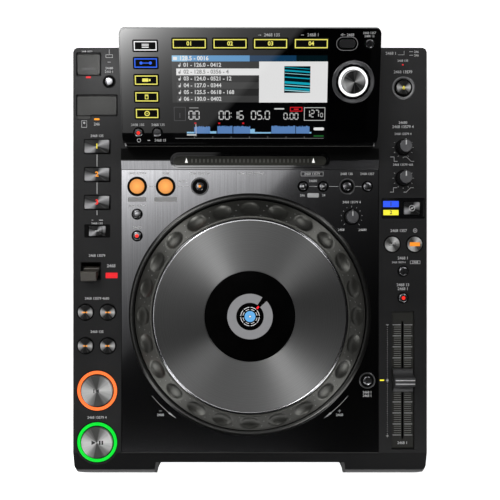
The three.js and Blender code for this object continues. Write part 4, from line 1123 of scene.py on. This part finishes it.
def dress_selector():
    place, knob = console_place(89.44, 53.68), "selector_knob"
    dish = [(18.0, -0.4), (18.4, 0.1), (18.1, 0.45), (17.5, 0.4), (16.8, 0.0), (13.5, -0.55), (12.7, -0.7),
            (12.7, -0.9), (18.0, -0.9), (18.0, -0.4)]
    dished = spun_metal("Dished black metal", "#68686A", 0.25, 0.75, 0.7)
    placed("selector_dish", revolve(dish, 128), dished, place, twist=0)
    glow = [(10.35, -1.2), (10.35, -0.45), (10.6, -0.2), (12.4, -0.2), (12.75, -0.5), (12.75, -1.2),
            (10.35, -1.2)]
    white = lit_plastic("Lit white ring", "#F2F2F2", 0.95)
    placed("selector_light_ring", revolve(glow, 96), white, place)
    nickel = plated_metal("Satin nickel grip", "#8E8E90", 0.3)
    placed("selector_grip", fluted(10.0, -1.5, 8.4, 36, 0.22), nickel, place, knob, knob,
           angle=28)
    crown = [(0, 8.3), (9.6, 8.3), (9.3, 8.8), (8.2, 9.4), (7.9, 9.5), (7.6, 9.35), (6.9, 9.1), (0, 8.95)]
    # The crown's light and dark wedges are a painted sheen
    turned = painted_sheen_metal("Black crown with painted sheen", "#161616", "#D2D2D2", 5.0, 0.1)
    placed("selector_crown", revolve(crown, 96), turned, place, knob, twist=65)


# What the display shows

TONES = {
    "blue": "#5C97C8", "deep": "#123B5C", "row": "#3E3E3E", "dark": "#2B2B2B", "white": "#ECECEC",
    "text": "#D8D8D8", "black": "#050506", "teal": "#16A7BE", "pale": "#A8E6EE", "night": "#04161C",
    "red": "#D4202A", "wave": "#5D86BE", "light": "#8FC4E8", "grey": "#8A8A8A", "box": "#4A4A4C",
    "green": "#1E5A2A",
}
LIST = ("01 - 126.0 - 0412", "02 - 128.5 - 0356 - 4", "03 - 124.0 - 0521 - 12", "04 - 127.0 - 0344",
        "05 - 125.5 - 0618 - 168", "06 - 130.0 - 0402")
LIST_TOP, LIST_PITCH = 67.85, 5.77
# Each stretch of the level trace: left end, right end, loudness, tone
LEVELS = (
    (-55.4, -49.0, 0.22, "light"), (-49.0, -35.0, 0.9, "wave"), (-35.0, -29.5, 0.3, "light"),
    (-28.6, -15.4, 0.95, "wave"), (-14.6, 0.2, 0.92, "wave"), (0.2, 4.2, 0.6, "light"),
    (4.2, 18.4, 0.18, "light"), (18.8, 39.8, 0.97, "wave"), (40.4, 52.2, 0.93, "wave"),
    (52.2, 53.8, 0.2, "light"),
)
# The generic picture's bands: height on the screen, width, tone
BANDS = ((65.2, 0.5, "teal"), (62.6, 1.3, "teal"), (60.2, 0.4, "pale"), (57.0, 0.9, "teal"),
         (52.6, 2.0, "teal"), (50.2, 0.6, "pale"), (47.6, 1.6, "teal"), (45.9, 0.7, "pale"))
COUNTERS = (
    ("black", (("bar", -61.3, 26.2, 9.4, 11.2),)),
    ("box", (("text", -61.3, 24.6, "1", 4.2),)),
    ("grey", (("bar", -49.0, 31.4, 8.0, 0.8),)),
    ("text", (("seven", -53.4, 21.6, "00", 3.7, 7.0, 0.75), ("seven", -27.0, 21.6, "00:16", 3.7, 7.0, 0.75),
              ("seven", 1.2, 21.6, "05.0", 3.7, 7.0, 0.75), ("bar", 25.5, 30.6, 8.6, 1.1))),
    ("red", (("frame", 40.3, 30.2, 10.8, 3.9, 0.7), ("bar", 40.3, 30.2, 4.2, 1.2))),
    ("text", (("seven", 29.6, 21.6, "0.00", 2.9, 5.2, 0.62), ("frame", 56.4, 26.1, 18.4, 11.4, 0.45),
              ("seven", 49.2, 23.6, "127", 2.8, 5.8, 0.6), ("seven", 61.6, 23.6, "0", 1.9, 3.2, 0.5))),
    ("red", (("bar", -47.9, 18.1, 1.7, 1.3), ("bar", -27.0, 18.1, 1.7, 1.3), ("bar", -6.0, 18.1, 1.7, 1.3))),
)
FOOTER = (
    ("text", (("bar", -47.4, 12.1, 0.5, 10.4), ("bar", -51.5, 8.0, 7.8, 1.1))),
    ("grey", (("bar", -0.5, 5.0, 130.5, 0.3), *[("bar", -48.8 + 16.1 * i, 5.8, 0.35, 1.5) for i in range(7)])),
    ("white", (("bar", 60.3, 13.2, 9.2, 2.5, 0, 1.1),)),
    ("green", (("bar", 60.3, 7.0, 8.8, 1.4),)),
)


def dress_screen():
    """A list of plain numbers, a generic picture, counters and a level trace."""
    inks = {key: screen_ink(f"Display {key}", code) for key, code in TONES.items()}
    base = Sheet(*inks.values())
    base.bar(inks["black"], 0, 40.4, 134.8, 71.8)
    base.level = 0.02
    for i in range(10):
        tone = "light" if i < 1 else "blue" if i <= 4 else "deep" if i <= 7 else "night"
        base.bar(inks[tone], -60.6 + 13.4 * i, 73.4, 13.4, 5.0)
    base.bar(inks["dark"], -65.6, 53.3, 3.6, 34.6)
    for i in range(len(LIST)):
        tone = "white" if i == 1 else "row" if i % 2 else "dark"
        base.bar(inks[tone], -27.9, LIST_TOP - LIST_PITCH * i, 71.6, 5.7)
    base.bar(inks["white"], 37.5, 53.4, 59.3, 34.8)
    base.bar(inks["box"], -61.3, 26.2, 10.2, 12.0)
    base.done("display_ground", console_place(0, 0, 0.02), slot="screen_glass")

    top = Sheet(*inks.values())
    top.bar(inks["white"], -64.6, 73.4, 3.4, 2.6)
    top.text(inks["white"], -61.0, 73.4, "128.5 - 0016", 3.5, "LEFT")
    for i, words in enumerate(LIST):
        ink, y = inks["grey" if i == 1 else "text"], LIST_TOP - LIST_PITCH * i
        top.dot(ink, -61.0, y - 0.6, 1.0)
        top.bar(ink, -60.2, y + 0.6, 0.5, 2.6)
        top.text(ink, -57.5, y, words, 3.3, "LEFT")
    top.bar(inks["night"], 40.9, 55.6, 22.6, 22.6)
    top.level = 0.02
    for y, width, tone in BANDS:
        top.bar(inks[tone], 40.9, y, 22.2, width, math.radians(-4))
    top.level = 0.0
    for tone, shapes in COUNTERS:
        top.draw(inks[tone], shapes)
    chance = random.Random(7)
    for left, right, loud, tone in LEVELS:
        count = max(2, int((right - left) / 0.62))
        width = (right - left) / count
        for i in range(count):
            tall = 7.2 * loud * (0.86 + 0.14 * chance.random())
            top.bar(inks[tone], left + (i + 0.5) * width, 9.2 + tall / 2, width + 0.02, tall)
    for tone, shapes in FOOTER:
        top.draw(inks[tone], shapes)
    top.done("display_figures", console_place(0, 0, 0.06), slot="screen_glass")


def dress_console_printing():
    ink = print_finish()
    marks = Sheet(ink)
    marks.draw(ink, (
        ("label", 18.8, 92.9, 17.1, 2.0), ("label", 54.1, 92.9, 13.0, 2.0), ("label", 85.9, 92.9, 7.5, 1.7),
        ("label", 102.2, 94.5, 13.5, 1.4), ("label", 102.2, 91.9, 11.0, 1.4), ("label", -98.5, 16.7, 14.0, 1.7),
        ("label", -80.5, 16.7, 14.5, 1.7), ("label", -79.0, 3.1, 13.0, 1.7),
        ("bar", 8.1, 92.9, 2.6, 0.6), ("bar", 44.9, 92.9, 2.6, 0.6), ("bar", -89.0, 3.1, 2.6, 0.6),
    ))
    marks.line(ink, [(79.6, 94.1), (77.6, 93.1), (79.6, 92.1)], 0.5)
    marks.line(ink, [(77.8, 93.1), (81.4, 93.1)], 0.5)
    marks.arc(ink, -97.8, 3.2, 1.2, 1.8)
    marks.done("console_marks", console_place(0, 0, 0.02), slot="window_acrylic")


# Needle strip and rear


def dress_needle_strip():
    def at(z=0.0):
        return Matrix.Translation(Vector((0, 92.42, z)) * MM)

    gloss = gloss_finish()
    pill = slab(141, 12, 62.6, 64.9, 5.99, 16)
    placed("needle_strip", pill, gloss, at(), replaces="needle_search_strip", bevel=0.3 * MM)
    smoked = grained_plastic("Smoked touch strip", "#34342E", 0.3, 0.005)
    placed("needle_inlay", slab(137.4, 8.4, 64.8, 64.96, 4.19, 16), smoked, at())
    surround = ring_shape(144.0, 15.0, 141.5, 12.5, 63.6, 64.95, 7.4)
    placed("needle_strip_frame", surround, gloss, at())
    dull, bright = screen_print("Strip ticks", "#77776F"), lit_plastic("Strip marks", "#F0F0EC", 0.85)
    marks = Sheet(dull, bright)
    for i in range(30):
        marks.bar(dull, -52.3 + 3.607 * i, 0, 0.6, 3.2)
    for x in (-57.3, 57.1):
        marks.dot(bright, x, -0.3, 1.5, 3, 0, 2.0)
    marks.done("needle_strip_marks", at(64.97), slot="strip_acrylic")


def dress_rear():
    edge = sizes().edge
    dressed("rear_jack_panel", "rear_plate", dark_moulding("Black painted steel", "#141415", 0.45),
            edge * 0.3)
    dressed("power_switch", "power_cap", dark_moulding("Switch cap", "#1A1A1B", 0.3), edge * 0.5,
            "power_switch")

    def behind(x, z):
        """A place on the rear plate, facing the rear."""
        return Matrix.Translation(Vector((x, 195.08, z)) * MM) @ Matrix.Rotation(-QUARTER, 4, "X")

    nickel = plated_metal("Nickel plate", "#C8C8C4", 0.2)
    barrel = [(1.8, 1.0), (1.8, 6.3), (2.2, 6.45), (3.9, 6.45), (4.25, 6.1), (4.25, 0.6), (6.2, 0.6),
              (6.2, 0.05), (1.8, 0.05), (1.8, 1.0)]
    collar = [(2.0, 5.0), (2.0, 6.48), (3.0, 6.48), (3.0, 5.0), (2.0, 5.0)]
    for i, (x, code) in enumerate(((87.36, "#E8E8E6"), (62.4, "#B3201E"), (41.6, "#E8E8E6"), (16.64, "#B3201E"))):
        place = behind(x, 33)
        placed(f"jack_{i + 1}", revolve(barrel, 40), nickel, place)
        plastic = dark_moulding(f"Jack ring {i}", code, 0.4)
        placed(f"jack_collar_{i + 1}", revolve(collar, 32), plastic, place)
    surround = [(7.6, 0.0), (7.6, 0.5), (7.2, 0.7), (6.0, 0.7), (5.95, 0.0), (7.6, 0.0)]
    placed("power_surround", revolve(surround, 48), black_and_gap_shade(), behind(138.2, 40))
    pins = bmesh.new()
    for x in (-84, -74):
        joined(pins, moved(slab(1.2, 9, 31.0, 34.2), x, 187))
    placed("inlet_pins", pins, nickel, Matrix(), bevel=0.2 * MM)


# Printing on deck and strips

# Labels: x, y, width, height
DECK_LABELS = (
    (-102.0, 81.3, 20, 1.6), (-76.3, 81.3, 7, 1.6), (-45.7, 81.3, 22, 1.6), (0.5, 81.3, 30, 1.6),
    (87.4, 80.8, 13.5, 1.6), (106.0, 80.8, 15.5, 1.6), (56.2, 80.8, 17.5, 1.6), (57.0, 74.4, 9, 1.6),
    (92.0, 55.2, 21, 1.6), (-102.2, 51.9, 21, 1.6), (-102.1, 32.4, 8, 1.6), (-60.6, 74.2, 9.5, 1.6),
    (82.5, 30.2, 7.0, 1.6), (101.8, 30.2, 8.0, 1.6), (106.1, -116.8, 10.5, 1.6), (106.1, -119.9, 9.5, 1.6),
    (47.4, 61.4, 5.0, 1.6), (66.6, 61.4, 4.0, 1.6),
    (-81.0, -137.3, 7.0, 1.7), (81.0, -137.3, 7.0, 1.7),
)
LEFT_LABELS = (
    (-138.4, 115.2, 15.5, 1.7), (-138.4, 6.9, 18.5, 1.7), (-138.4, -31.9, 27.0, 1.7), (-138.4, -62.0, 14.0, 1.7),
    (-138.4, -139.6, 21.5, 1.7), (-138.4, 35.9, 13.5, 1.5), (-147.5, 191.6, 12.0, 1.1), (-138.6, 125.8, 5.5, 2.0),
    (-125.6, -2.4, 9.5, 2.1), (-127.4, 176.4, 8.0, 1.5), (-127.4, 173.2, 9.0, 1.5),
)
RIGHT_LABELS = (
    (138.4, 173.0, 19.5, 1.9), (138.4, 127.2, 9.5, 1.7), (138.4, 123.4, 24.5, 1.9), (138.4, 117.0, 19.0, 1.5),
    (138.4, 89.1, 23.0, 1.5), (138.4, 4.6, 12.0, 1.9), (138.4, -19.6, 14.0, 1.9), (138.4, -23.2, 12.0, 1.9),
    (134.5, 29.4, 18.5, 1.9), (138.3, 183.2, 12.5, 1.4), (127.6, 189.8, 11.5, 1.9), (150.6, 191.2, 5.0, 1.5),
    (150.6, 188.0, 4.5, 1.5), (134.6, 0.8, 16.0, 1.2), (149.4, 0.9, 6.5, 1.5),
)
GREY_SHAPES = (
    # Deck: lines between the keys, the frame of a label, the signs of the turning arrows
    ("bar", -89.3, 69.5, 6.6, 0.4), ("bar", -60.5, 69.5, 12.2, 0.4), ("bar", 57.2, 69.5, 7.2, 0.4),
    ("bar", 75.8, 69.5, 8.4, 0.4), ("bar", 98.1, 69.5, 5.4, 0.4), ("frame", 56.2, 80.8, 20.4, 4.0, 0.4),
    ("bar", 57.1, 61.5, 10.4, 4.0, 0, 1.0), ("bar", -81.0, -133.6, 2.4, 0.5), ("bar", 81.0, -133.6, 2.4, 0.5),
    ("bar", 81.0, -133.6, 0.5, 2.4),
    # Left strip: lines between the hot cue keys, the lever's signs, pictograms of stick and card
    ("bar", -138.4, 93.0, 0.7, 10.8), ("bar", -138.4, 67.9, 0.7, 10.6), ("bar", -138.4, 45.7, 0.7, 4.2),
    ("bar", -142.6, 39.0, 1.6, 0.5), ("bar", -134.8, 39.0, 3.4, 0.8), ("frame", -150.0, 126.0, 5.0, 6.4, 0.4),
    ("dot", -150.0, 127.0, 1.1, 6), ("frame", -127.4, 187.4, 6.4, 3.0, 0.4), ("bar", -127.4, 191.4, 0.5, 4.0),
    ("bar", -127.4, 182.0, 3.0, 0.5),
    # Right strip: the sync sign, the frame of a label, the ends and middle of the tempo scale
    ("arc", 149.4, 29.6, 1.3, 1.9), ("dot", 149.4, 29.6, 0.7), ("frame", 149.4, 0.9, 9.2, 3.0, 0.4),
    ("bar", 124.3, -55.6, 2.4, 0.5), ("bar", 124.3, -156.2, 2.4, 0.5), ("bar", 124.3, -156.2, 0.5, 2.4),
    ("arc", 124.3, -105.9, 0.7, 1.1),
)
# Strokes: width, then the points
STROKES = (
    (0.4, (134.0, 188.6), (139.4, 188.6), (139.4, 192.0)),
    (0.5, (144.2, 188.2), (147.4, 188.2)),
    (0.5, (144.2, 191.4), (147.4, 191.4)),
    (0.5, (127.0, 96.2), (130.4, 96.2), (130.4, 92.2), (133.4, 92.2)),
    (0.5, (139.4, 96.2), (141.8, 96.2), (145.8, 92.2), (148.4, 92.2)),
    (0.5, (126.6, 64.4), (129.8, 64.4), (129.8, 68.4), (133.0, 68.4)),
    (0.5, (139.0, 64.4), (141.4, 64.4), (145.4, 68.4), (148.0, 68.4)),
)
# Ticks round a knob: its middle, radius, count, first and step in degrees, lengths of each fifth and others
KNOB_TICKS = (
    (92.0, 41.8, 9.4, 11, 225, -27, 1.6, 0.8),
    (138.6, 104.72, 9.0, 9, 150, 30, 1.2, 1.2),
    (138.6, 76.94, 9.0, 9, 150, 30, 1.2, 1.2),
)
# Symbols and lamps on the caps: key, height of the cap's top, ink, shapes
SYMBOLS = (
    ("track_search_back", 1.9, "amber", ("dot", 1.2, 0, 1.25, 3, TIP_LEFT, 0.8),
     ("dot", -1.08, 0, 1.25, 3, TIP_LEFT, 0.8), ("bar", -2.6, 0, 0.5, 1.7)),
    ("track_search_forward", 1.9, "amber", ("dot", -1.2, 0, 1.25, 3, TIP_RIGHT, 0.8),
     ("dot", 1.08, 0, 1.25, 3, TIP_RIGHT, 0.8), ("bar", 2.6, 0, 0.5, 1.7)),
    ("search_reverse", 1.9, "amber", ("dot", 1.2, 0, 1.25, 3, TIP_LEFT, 0.8),
     ("dot", -1.08, 0, 1.25, 3, TIP_LEFT, 0.8)),
    ("search_forward", 1.9, "amber", ("dot", -1.2, 0, 1.25, 3, TIP_RIGHT, 0.8),
     ("dot", 1.08, 0, 1.25, 3, TIP_RIGHT, 0.8)),
    ("play", 2.45, "black", ("dot", -3.4, 0, 2.7, 3, TIP_RIGHT, 0.85), ("bar", 0.2, 0, 0.5, 3.2),
     ("bar", 2.7, 0, 1.5, 3.6), ("bar", 5.0, 0, 1.5, 3.6)),
    ("cue", 2.45, "black", ("bar", -2.6, 0, 0.9, 3.6), ("dot", 0.8, 0, 2.3, 3, TIP_LEFT, 0.85)),
    ("disc_eject", 1.9, "yellow", ("dot", 0, 0.4, 1.5, 3, 0, 0.8), ("bar", 0, -1.2, 2.6, 0.5)),
    ("slip", 2.24, "red", ("dot", 0, 0, 1.6)),
    ("master_tempo", 2.24, "red", ("dot", 0, 0, 1.6)),
    ("reloop", 2.24, "orange", ("dot", 0, 0, 1.2)),
    ("call_back", 2.24, "white", ("dot", 0, 0, 1.5, 3, TIP_LEFT, 0.8)),
    ("call_forward", 2.24, "white", ("dot", 0, 0, 1.5, 3, TIP_RIGHT, 0.8)),
    ("sync", 1.9, "black", ("frame", 0, 0, 6.4, 2.6, 0.3)),
    ("master", 1.9, "orange", ("bar", 0, 0, 9.2, 3.6)),
    ("hot_cue_a", 1.99, "first", ("text", 0, 0, "1", 4.4)),
    ("hot_cue_b", 1.99, "second", ("text", 0, 0, "2", 4.4)),
    ("hot_cue_c", 1.99, "third", ("text", 0, 0, "3", 4.4)),
    ("recall", 1.99, "white", ("bar", 0, 0, 3.4, 0.8)),
    ("jog_mode", 1.99, "white", ("arc", 0, 0, 2.2, 2.8), ("dot", 0, 0, 0.8)),
)


def print_deck():
    grey, soft = print_finish(), screen_print("Filled label", "#A2A2A3")
    red = lit_plastic("Lit red label", "#E0252C", 0.8)
    yellow = lit_plastic("Lit yellow label", "#EDE23A", 0.9)
    amber = lit_plastic("Lit amber", "#F59A1E", 1.0)
    marks = Sheet(grey, soft, red, yellow, amber)
    for row in (*DECK_LABELS, *LEFT_LABELS, *RIGHT_LABELS):
        marks.label(grey, *row)
    marks.draw(grey, GREY_SHAPES)
    for width, *points in STROKES:
        marks.line(grey, points, width)
    marks.draw(soft, (("bar", -102.1, 57.7, 16.6, 4.2, 0, 0.5), ("bar", -76.4, 57.7, 20.4, 4.2, 0, 0.5)))
    marks.draw(red, (("bar", -146.2, 168.3, 4.4, 1.7), ("bar", -125.2, -11.0, 10.8, 5.0, 0, 0.4),
                     ("bar", 138.3, 179.6, 1.4, 1.2)))
    marks.bar(amber, -138.6, 130.3, 4.7, 1.6)
    marks.bar(yellow, 119.4, -105.8, 3.9, 1.3)
    for x, y, radius, count, first, step, fifth, other in KNOB_TICKS:
        for i in range(count):
            angle = math.radians(first + step * i)
            size = other if i % 5 else fifth
            marks.bar(grey, x + radius * math.cos(angle), y + radius * math.sin(angle), size, 0.35, angle)
    for i in range(51):
        marks.dot(grey, 124.3, -155.9 + 2.0 * i, 0.28 if i % 25 else 0.55, 8)
    print_turning_arrows(marks, grey)
    marks.done("deck_marks", deck_place(0, 0, 0.02), slot="deck_metal")


def print_turning_arrows(marks, ink):
    """An arrow each way beside the wheel: a thin arc that ends in a slender point."""
    radius, first, sweep, steps, shaft = 115.2, 219.7, 14.7, 30, 0.72
    for side in (-1, 1):
        for i in range(steps):
            share = (i + 0.5) / steps
            width = 0.3 + 0.25 * share if share < shaft else 1.7 * (1 - share) / (1 - shaft) + 0.15
            angle = math.radians(first + sweep * share)
            turn = angle if side < 0 else math.pi - angle
            x, y = JOG[0] + radius * math.cos(turn), JOG[1] + radius * math.sin(turn)
            marks.bar(ink, x, y, 1.12, width, turn + QUARTER)


def print_caps():
    """Symbols and lamps on the caps; each rides with its own key."""
    inks = {
        "amber": lit_plastic("Lit amber", "#F59A1E", 1.0), "yellow": lit_plastic("Lit yellow", "#F2E24A", 0.9),
        "red": lit_plastic("Lit red", "#FF2A20", 1.0), "orange": lit_plastic("Lit orange band", "#F2922E", 0.8),
        "white": white_print(), "black": black_print(),
        "first": lit_plastic("Lit numeral 1", "#E8D83A", 1.0),
        "second": lit_plastic("Lit numeral 2", "#F0941E", 1.0),
        "third": lit_plastic("Lit numeral 3", "#E8302A", 1.0),
    }
    for stem, rise, tone, *shapes in SYMBOLS:
        marks = Sheet(inks[tone])
        marks.draw(inks[tone], shapes)
        node = stem + "_button"
        marks.done(f"{stem}_symbol", above(node, rise), node)


# Stage


def card(name, corners, material):
    """A flat card, with its corners in millimetres, that the camera doesn't see."""
    bm = bmesh.new()
    bm.faces.new([bm.verts.new(Vector(corner) * MM) for corner in corners])
    mesh = bpy.data.meshes.new(name)
    bm.to_mesh(mesh)
    bm.free()
    mesh.materials.append(material)
    piece = bpy.data.objects.new(name, mesh)
    bpy.context.scene.collection.objects.link(piece)
    piece.visible_camera = False
    piece.visible_shadow = False
    return piece


def level_card(name, left, right, front, rear, height, material):
    corners = [(left, front, height), (right, front, height), (right, rear, height), (left, rear, height)]
    return card(name, corners, material)


def bare(data):
    """The empty node tree of a material or world."""
    data.use_nodes = True
    data.node_tree.nodes.clear()
    return data.node_tree


def card_glow(name, strength, growth, edge, dim, base=0.0):
    """Light that grows along X and Y, with a straight slanting edge past which it is dim.

    Growth is per metre; the edge runs through two points and the light lies on its left."""
    material = bpy.data.materials.new(name)
    tree = bare(material)
    place = add(tree, "SeparateXYZ", {0: add(tree, "TexCoord").outputs["Object"]})
    x, y = place.outputs["X"], place.outputs["Y"]

    def fused(a, b, c):
        return add(tree, "Math", {0: a, 1: b, 2: c}, operation="MULTIPLY_ADD")

    rise = fused(x, growth[0], fused(y, growth[1], 0.0))
    power = fused(add(tree, "Math", {0: math.e, 1: rise}, operation="POWER"), strength, base)
    (x0, y0), (x1, y1) = edge
    reach = math.hypot(x1 - x0, y1 - y0)
    across, along = (y0 - y1) / reach, (x1 - x0) / reach
    gap = fused(x, across, fused(y, along, -(across * x0 + along * y0)))
    blur = 0.003
    step = add(tree, "MapRange", {"Value": gap, "From Min": -blur, "From Max": blur, "To Min": dim, "To Max": 1.0})
    # Louvred like a photographer's grid: bright from straight below, dark from the side
    slant = add(tree, "LayerWeight", {"Blend": 0.5}).outputs["Facing"]
    span = {"Value": slant, "From Min": 0.08, "From Max": 0.22, "To Min": 1.0, "To Max": 0.04}
    cut = add(tree, "Math", {0: step, 1: add(tree, "MapRange", span)}, operation="MULTIPLY")
    scaled = add(tree, "Math", {0: power, 1: cut}, operation="MULTIPLY")
    add(tree, "OutputMaterial", {"Surface": add(tree, "Emission", {"Strength": scaled})})
    return material


def even_glow(name, strength):
    material = bpy.data.materials.new(name)
    tree = bare(material)
    add(tree, "OutputMaterial", {"Surface": add(tree, "Emission", {"Strength": strength})})
    return material


def seen_by_camera(tree):
    """1 for rays from the camera and for rays that mirrors and glass pass on."""
    path = add(tree, "LightPath").outputs
    first = add(tree, "Math", {0: path["Is Camera Ray"], 1: path["Is Glossy Ray"]}, operation="MAXIMUM")
    return add(tree, "Math", {0: first, 1: path["Is Transmission Ray"]}, operation="MAXIMUM")


def build_stage():
    bpy.context.scene.view_settings.view_transform = "Standard"
    set_camera()
    set_world()
    lay_floor()
    hang_tent()
    hang_reflections()
    # Lamps: name, place, size, power
    for name, place, size, power in (
        ("Rear left lamp", (-0.62, 0.85, 1.1), 0.2, 4.6), ("Rear right lamp", (0.72, 0.72, 1.05), 0.15, 1.3),
        ("Front right lamp", (0.62, -0.85, 1.1), 0.2, 1.8), ("Front left lamp", (-0.76, -0.7, 1.0), 0.15, 1.3),
    ):
        light = bpy.data.lights.new(name, "AREA")
        light.shape = "DISK"
        light.size = size
        light.energy = power
        holder = bpy.data.objects.new(name, light)
        bpy.context.scene.collection.objects.link(holder)
        holder.location = place
        holder.rotation_mode = "QUATERNION"
        holder.rotation_quaternion = (Vector((0, 0, 0.06)) - Vector(place)).to_track_quat("-Z", "Y")


def set_camera():
    """Straight above the middle of the photo, at the height that its perspective gives."""
    focus, picture = 817.9, 500  # pixels
    lens = bpy.data.cameras.new("Camera")
    lens.sensor_width = 36.0
    lens.lens = lens.sensor_width * focus / picture
    lens.clip_start, lens.clip_end = 0.05, 20
    eye = bpy.data.objects.new("Camera", lens)
    bpy.context.scene.collection.objects.link(eye)
    eye.location = (0, 0.012, 0.802)
    bpy.context.scene.camera = eye


def set_world():
    studio = bpy.data.worlds.new("Studio")
    bpy.context.scene.world = studio
    tree = bare(studio)
    level = add(tree, "MapRange", {"Value": seen_by_camera(tree), "To Min": 0.5, "To Max": 1.0})
    glow = add(tree, "Background", {"Color": (1, 1, 1, 1), "Strength": level})
    add(tree, "OutputWorld", {"Surface": glow})


def lay_floor():
    bm = bmesh.new()
    bmesh.ops.create_grid(bm, x_segments=1, y_segments=1, size=6)
    mesh = bpy.data.meshes.new("Floor")
    bm.to_mesh(mesh)
    bm.free()
    sheet = bpy.data.objects.new("Floor", mesh)
    bpy.context.scene.collection.objects.link(sheet)
    paper, tree, skin = shell(
        "White paper", base_color=linear("#F4F4F4"), roughness=0.9, emission_color=(1, 1, 1, 1)
    )
    plug(skin["Emission Strength"], add(tree, "Math", {0: seen_by_camera(tree), 1: 0.85}, operation="MULTIPLY"))
    mesh.materials.append(paper)


def hang_tent():
    """Black cloth above and round the table keeps the white room out of the dark, shiny surfaces."""
    cloth, _, _ = shell("Black cloth", base_color=linear("#0A0A0A"), roughness=1.0)
    reach, roof = 1350, 1330
    level_card("Canopy", -reach, reach, -reach, reach, roof, cloth)
    rise = Vector((0, 0, roof))
    for name, (x, y) in (("front", (0, -1)), ("rear", (0, 1)), ("left", (-1, 0)), ("right", (1, 0))):
        a = Vector((x - y, y - x, 0)) * reach
        b = Vector((x + y, y + x, 0)) * reach
        card(f"Curtain {name}", [a, b, b + rise, a + rise], cloth)


def hang_reflections():
    """Cards that only show in the object's shiny surfaces."""
    high = 1250
    slant = ((-0.2946, -0.2355), (0.1037, 0.21))
    level_card("Deck card", -460, 340, -480, 262, high, card_glow("Deck glow", 0.62, (-3.0, 8.0), slant, 0.12))
    glow = card_glow("Ramp glow", 4.2, (-1.6, 0.0), ((0.1, -1.0), (0.16, -0.4)), 0.06)
    level_card("Ramp card", -420, 420, -800, -540, high, glow)
    mirrored = []
    start, near, far = Vector((0, -139, high)), 700, 1150  # the strips lie round this point
    for turn, strength in ((122, 16.0), (302, 20.0), (45, 6.0), (225, 6.0)):
        swing = Matrix.Rotation(math.radians(turn), 3, "Z")
        corners = [start + swing @ Vector(end) for end in
                   ((near, -110, 0), (far, -160, 0), (far, 160, 0), (near, 110, 0))]
        mirrored.append(card(f"Wedge strip {turn}", corners, even_glow(f"Wedge glow {turn}", strength)))
    for name, *box in (("Rear", -900, 500, 520, 1150), ("Left", -1300, -950, -500, 500)):
        mirrored.append(level_card(f"{name} card", *box, high - 4, even_glow(f"{name} glow", 4.0)))
    slant = ((-0.0542, 0.0852), (0.045, 0.1911))
    glow = card_glow("Console glow", 2.31e-4, (-27.1, 38.1), slant, 0.0, 0.3)
    mirrored.append(level_card("Console card", -157, 110, 96, 202, 140, glow))
    tall = Vector((0, 0, 520))
    for turn in (45, 135, 225, 315):
        a, b = (Matrix.Rotation(math.radians(turn + spread), 3, "Z") @ Vector((1150, 0, 0)) for spread in (-9, 9))
        mirrored.append(card(f"Strip light {turn}", [a, b, b + tall, a + tall], even_glow(f"Strip glow {turn}", 5.0)))
    for piece in mirrored:
        piece.visible_diffuse = False


# Operators


def operator(idname, label, words, *makers):
    """An operator that runs the functions which make one piece or group of pieces."""

    def execute(self, context):
        for maker in makers:
            maker()
        return {"FINISHED"}

    return type("PLAYER_OT_" + idname, (bpy.types.Operator,), {
        "__doc__": words, "bl_idname": "player." + idname, "bl_label": label,
        "bl_options": {"REGISTER", "UNDO"}, "execute": execute,
    })


OPERATORS = [
    operator("build_stage", "Stage", "Camera, floor, cards and lamps", build_stage),
    operator("dress_body", "Body", "Housing, pan, feet, deck plate and inner pieces",
             dress_body, dress_feet, dress_seams),
    operator("dress_round_keys", "Round keys", "Round caps and their sockets", dress_round_keys),
    operator("dress_square_keys", "Square keys", "Rectangular caps and their sockets",
             dress_square_keys, dress_mode_plate),
    operator("dress_transport", "Transport keys", "Cue and play keys with their lit rings", dress_transport),
    operator("dress_knobs", "Knobs", "The three round knobs", dress_knobs),
    operator("dress_slider", "Tempo slider", "Slider cap, track and scale", dress_slider),
    operator("dress_lever", "Lever and covers", "Direction lever and port covers", dress_lever_and_covers),
    operator("dress_jog", "Jog wheel", "Dial, platter, lens and ring", dress_jog),
    operator("dress_console", "Console", "Housing, window, keys, selector and display",
             dress_console, dress_screen, dress_console_printing),
    operator("dress_needle", "Needle strip", "Touch strip behind the deck", dress_needle_strip),
    operator("dress_rear", "Rear", "Jacks, sockets and switch", dress_rear),
    operator("print_marks", "Printing", "Printing on deck and strips, and the keys' symbols",
             print_deck, print_caps),
]


class PLAYER_PT_dressing(bpy.types.Panel):
    """Lists the settings and the steps of the dressing"""

    bl_label = "Player"
    bl_idname = "PLAYER_PT_dressing"
    bl_space_type = "VIEW_3D"
    bl_region_type = "UI"
    bl_category = "Player"

    def draw(self, context):
        for group in (context.scene.player_sizes, context.scene.player_colours):
            box = self.layout.box()
            for name in group.__annotations__:
                box.prop(group, name)
        for step in OPERATORS:
            self.layout.operator(step.bl_idname)


CLASSES = [PlayerSizes, PlayerColours, *OPERATORS, PLAYER_PT_dressing]


def register():
    for item in CLASSES:
        bpy.utils.register_class(item)
    bpy.types.Scene.player_sizes = bpy.props.PointerProperty(type=PlayerSizes)
    bpy.types.Scene.player_colours = bpy.props.PointerProperty(type=PlayerColours)


def unregister():
    del bpy.types.Scene.player_colours
    del bpy.types.Scene.player_sizes
    for item in reversed(CLASSES):
        bpy.utils.unregister_class(item)


def main():
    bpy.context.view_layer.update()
    register()
    for step in OPERATORS:
        group, name = step.bl_idname.split(".")
        getattr(getattr(bpy.ops, group), name)()


if __name__ == "__main__":
    main()
